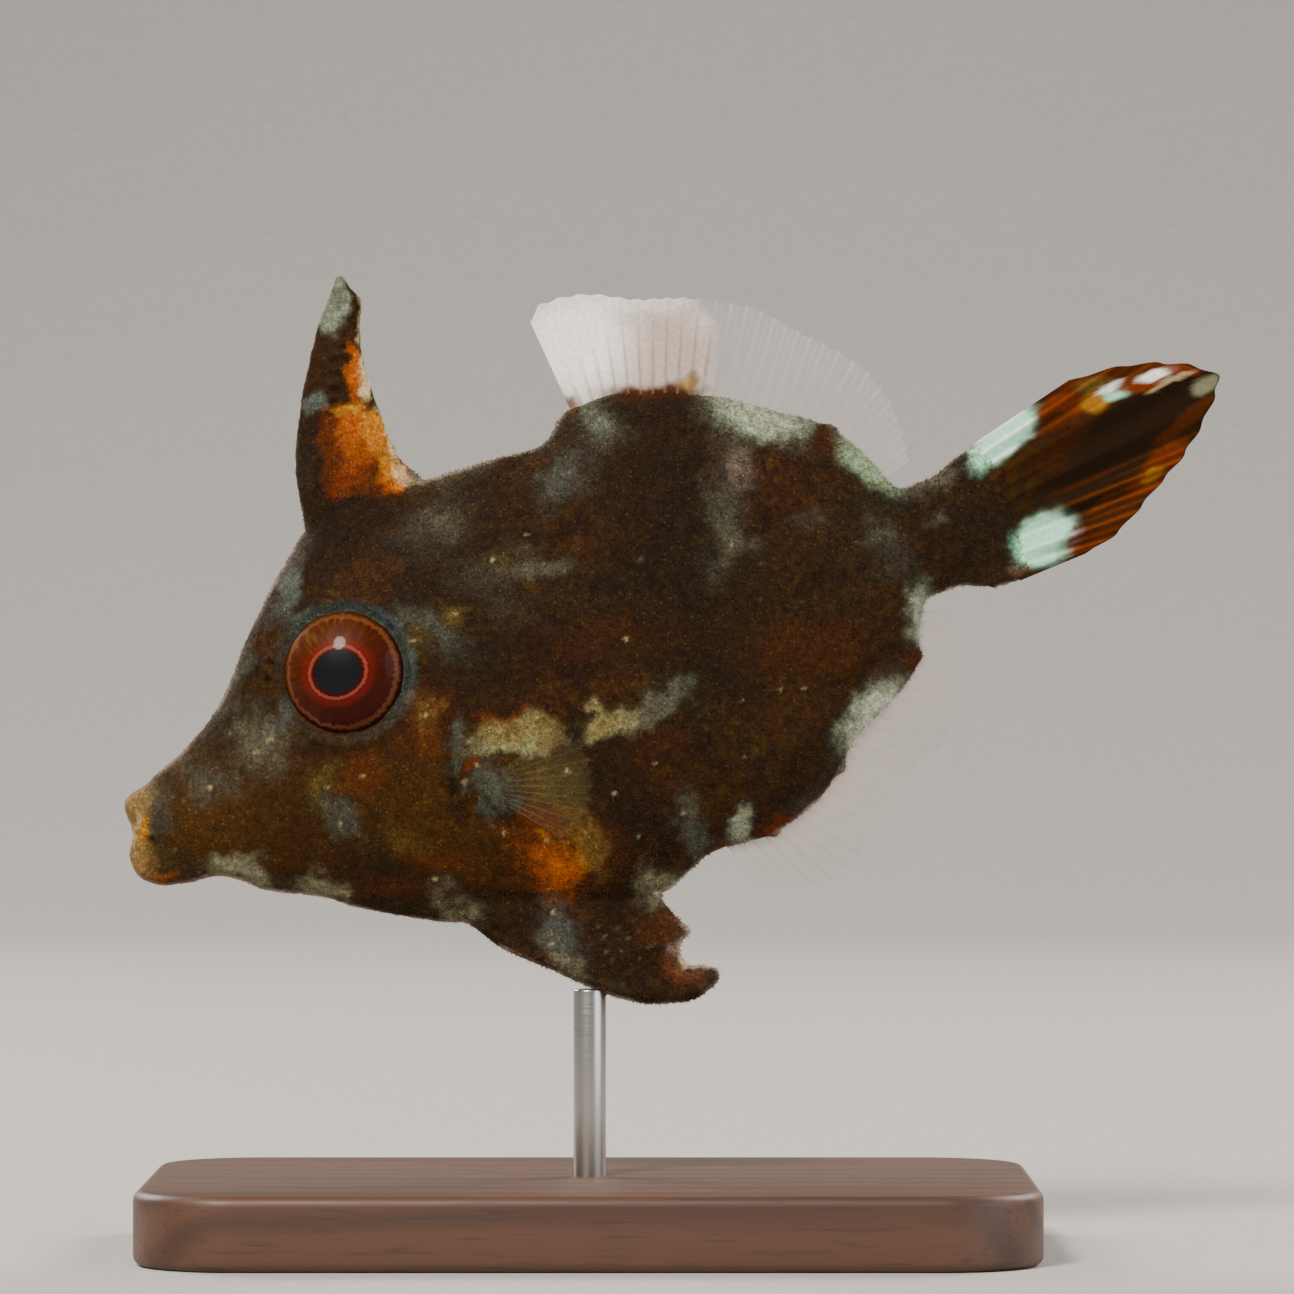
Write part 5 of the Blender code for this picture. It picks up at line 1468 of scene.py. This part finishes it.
def studio():
    """A seamless sweep of paper: floor, bend and wall."""
    run = [(PAPER_FRONT, 0.0), (PAPER_BEND, 0.0)]
    for angle in np.linspace(0.05, math.pi / 2, 24):
        run.append((PAPER_BEND + PAPER_ROUND * math.sin(angle), PAPER_ROUND - PAPER_ROUND * math.cos(angle)))
    run.append((PAPER_BEND + PAPER_ROUND, PAPER_TOP))
    points = [(x, y, z) for x in (-PAPER_HALF, PAPER_HALF) for y, z in run]
    count = len(run)
    faces = [(i, i + 1, count + i + 1, count + i) for i in range(count - 1)]
    sweep = object_from("paper_sweep", points, faces)
    bpy.ops.object.shade_smooth()
    sweep.data.materials.append(studio_paper())


def light(name, place, size, power, code):
    """A soft round lamp that looks at the fish."""
    lamp = bpy.data.lights.new(name, "AREA")
    lamp.shape = "DISK"
    lamp.size, lamp.energy = size, power
    lamp.color = linear(code)
    held = bpy.data.objects.new(name, lamp)
    held.location = place
    held.rotation_euler = (Vector(LAMP_AIM) - Vector(place)).to_track_quat("-Z", "Y").to_euler()
    bpy.context.scene.collection.objects.link(held)


def lights():
    """The lamps, and the even light of the room."""
    for lamp in LAMPS:
        light(*lamp)
    world = bpy.data.worlds.new("studio_air")
    bpy.context.scene.world = world
    world.use_nodes = True
    world.node_tree.nodes["Background"].inputs["Color"].default_value = tinted("dfe3e6")
    world.node_tree.nodes["Background"].inputs["Strength"].default_value = 0.36


def camera():
    """The camera at the photograph's angle, level with the middle of its frame."""
    lens = bpy.data.cameras.new("camera")
    held = bpy.data.objects.new("camera", lens)
    bpy.context.scene.collection.objects.link(held)
    lens.sensor_width = SENSOR
    lens.lens = SENSOR * CAMERA_AWAY / (PHOTO_WIDTH * PIXEL * MM)
    x = (PHOTO_MIDDLE[0] - PHOTO_ORIGIN[0]) * PIXEL * MM
    z = (PHOTO_ORIGIN[1] - PHOTO_MIDDLE[1]) * PIXEL * MM
    held.location = (x, -CAMERA_AWAY, z)
    held.rotation_euler = (math.pi / 2, 0, 0)
    bpy.context.scene.camera = held


def set_down(piece, material, slot, *nodes):
    """The piece given its material and its place in the frame."""
    piece.data.materials.clear()
    piece.data.materials.append(material)
    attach(piece, "root")
    if nodes:
        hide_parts(*nodes)


def main():
    """Dress the frame piece by piece."""
    camera()
    velvet, membrane, glossy = velvet_skin(), film("clear_fin_film", 1.0), wet_eye()
    whole = skin()
    set_down(whole, velvet, "skin", "head", "torso", "tail_stalk", "pelvic_flap", "upper_lip", "lower_lip",
             "dorsal_spine", "spine_web")
    for name, seed in (("velvet_coat_a", 11), ("velvet_coat_b", 12)):
        set_down(prickles(name, whole, seed), velvet, "skin")
    for side, node in ((-1, "eye_left"), (1, "eye_right")):
        set_down(eye(side), glossy, "eye", node)
    set_down(soft_dorsal(), membrane, "clear_fin", "soft_dorsal_fin")
    set_down(anal(), membrane, "clear_fin", "anal_fin")
    set_down(tail(), film("painted_fin_film", 0.0), "tail_fin", "tail_fin")
    set_down(pectoral(-1), membrane, "clear_fin", "pectoral_fin_left")
    set_down(pectoral(1), membrane, "clear_fin", "pectoral_fin_right")
    set_down(stand_base(), oiled_walnut(), "wood", "stand_base")
    set_down(stand_rod(), brushed_steel(), "steel", "stand_rod")
    studio()
    lights()


main()
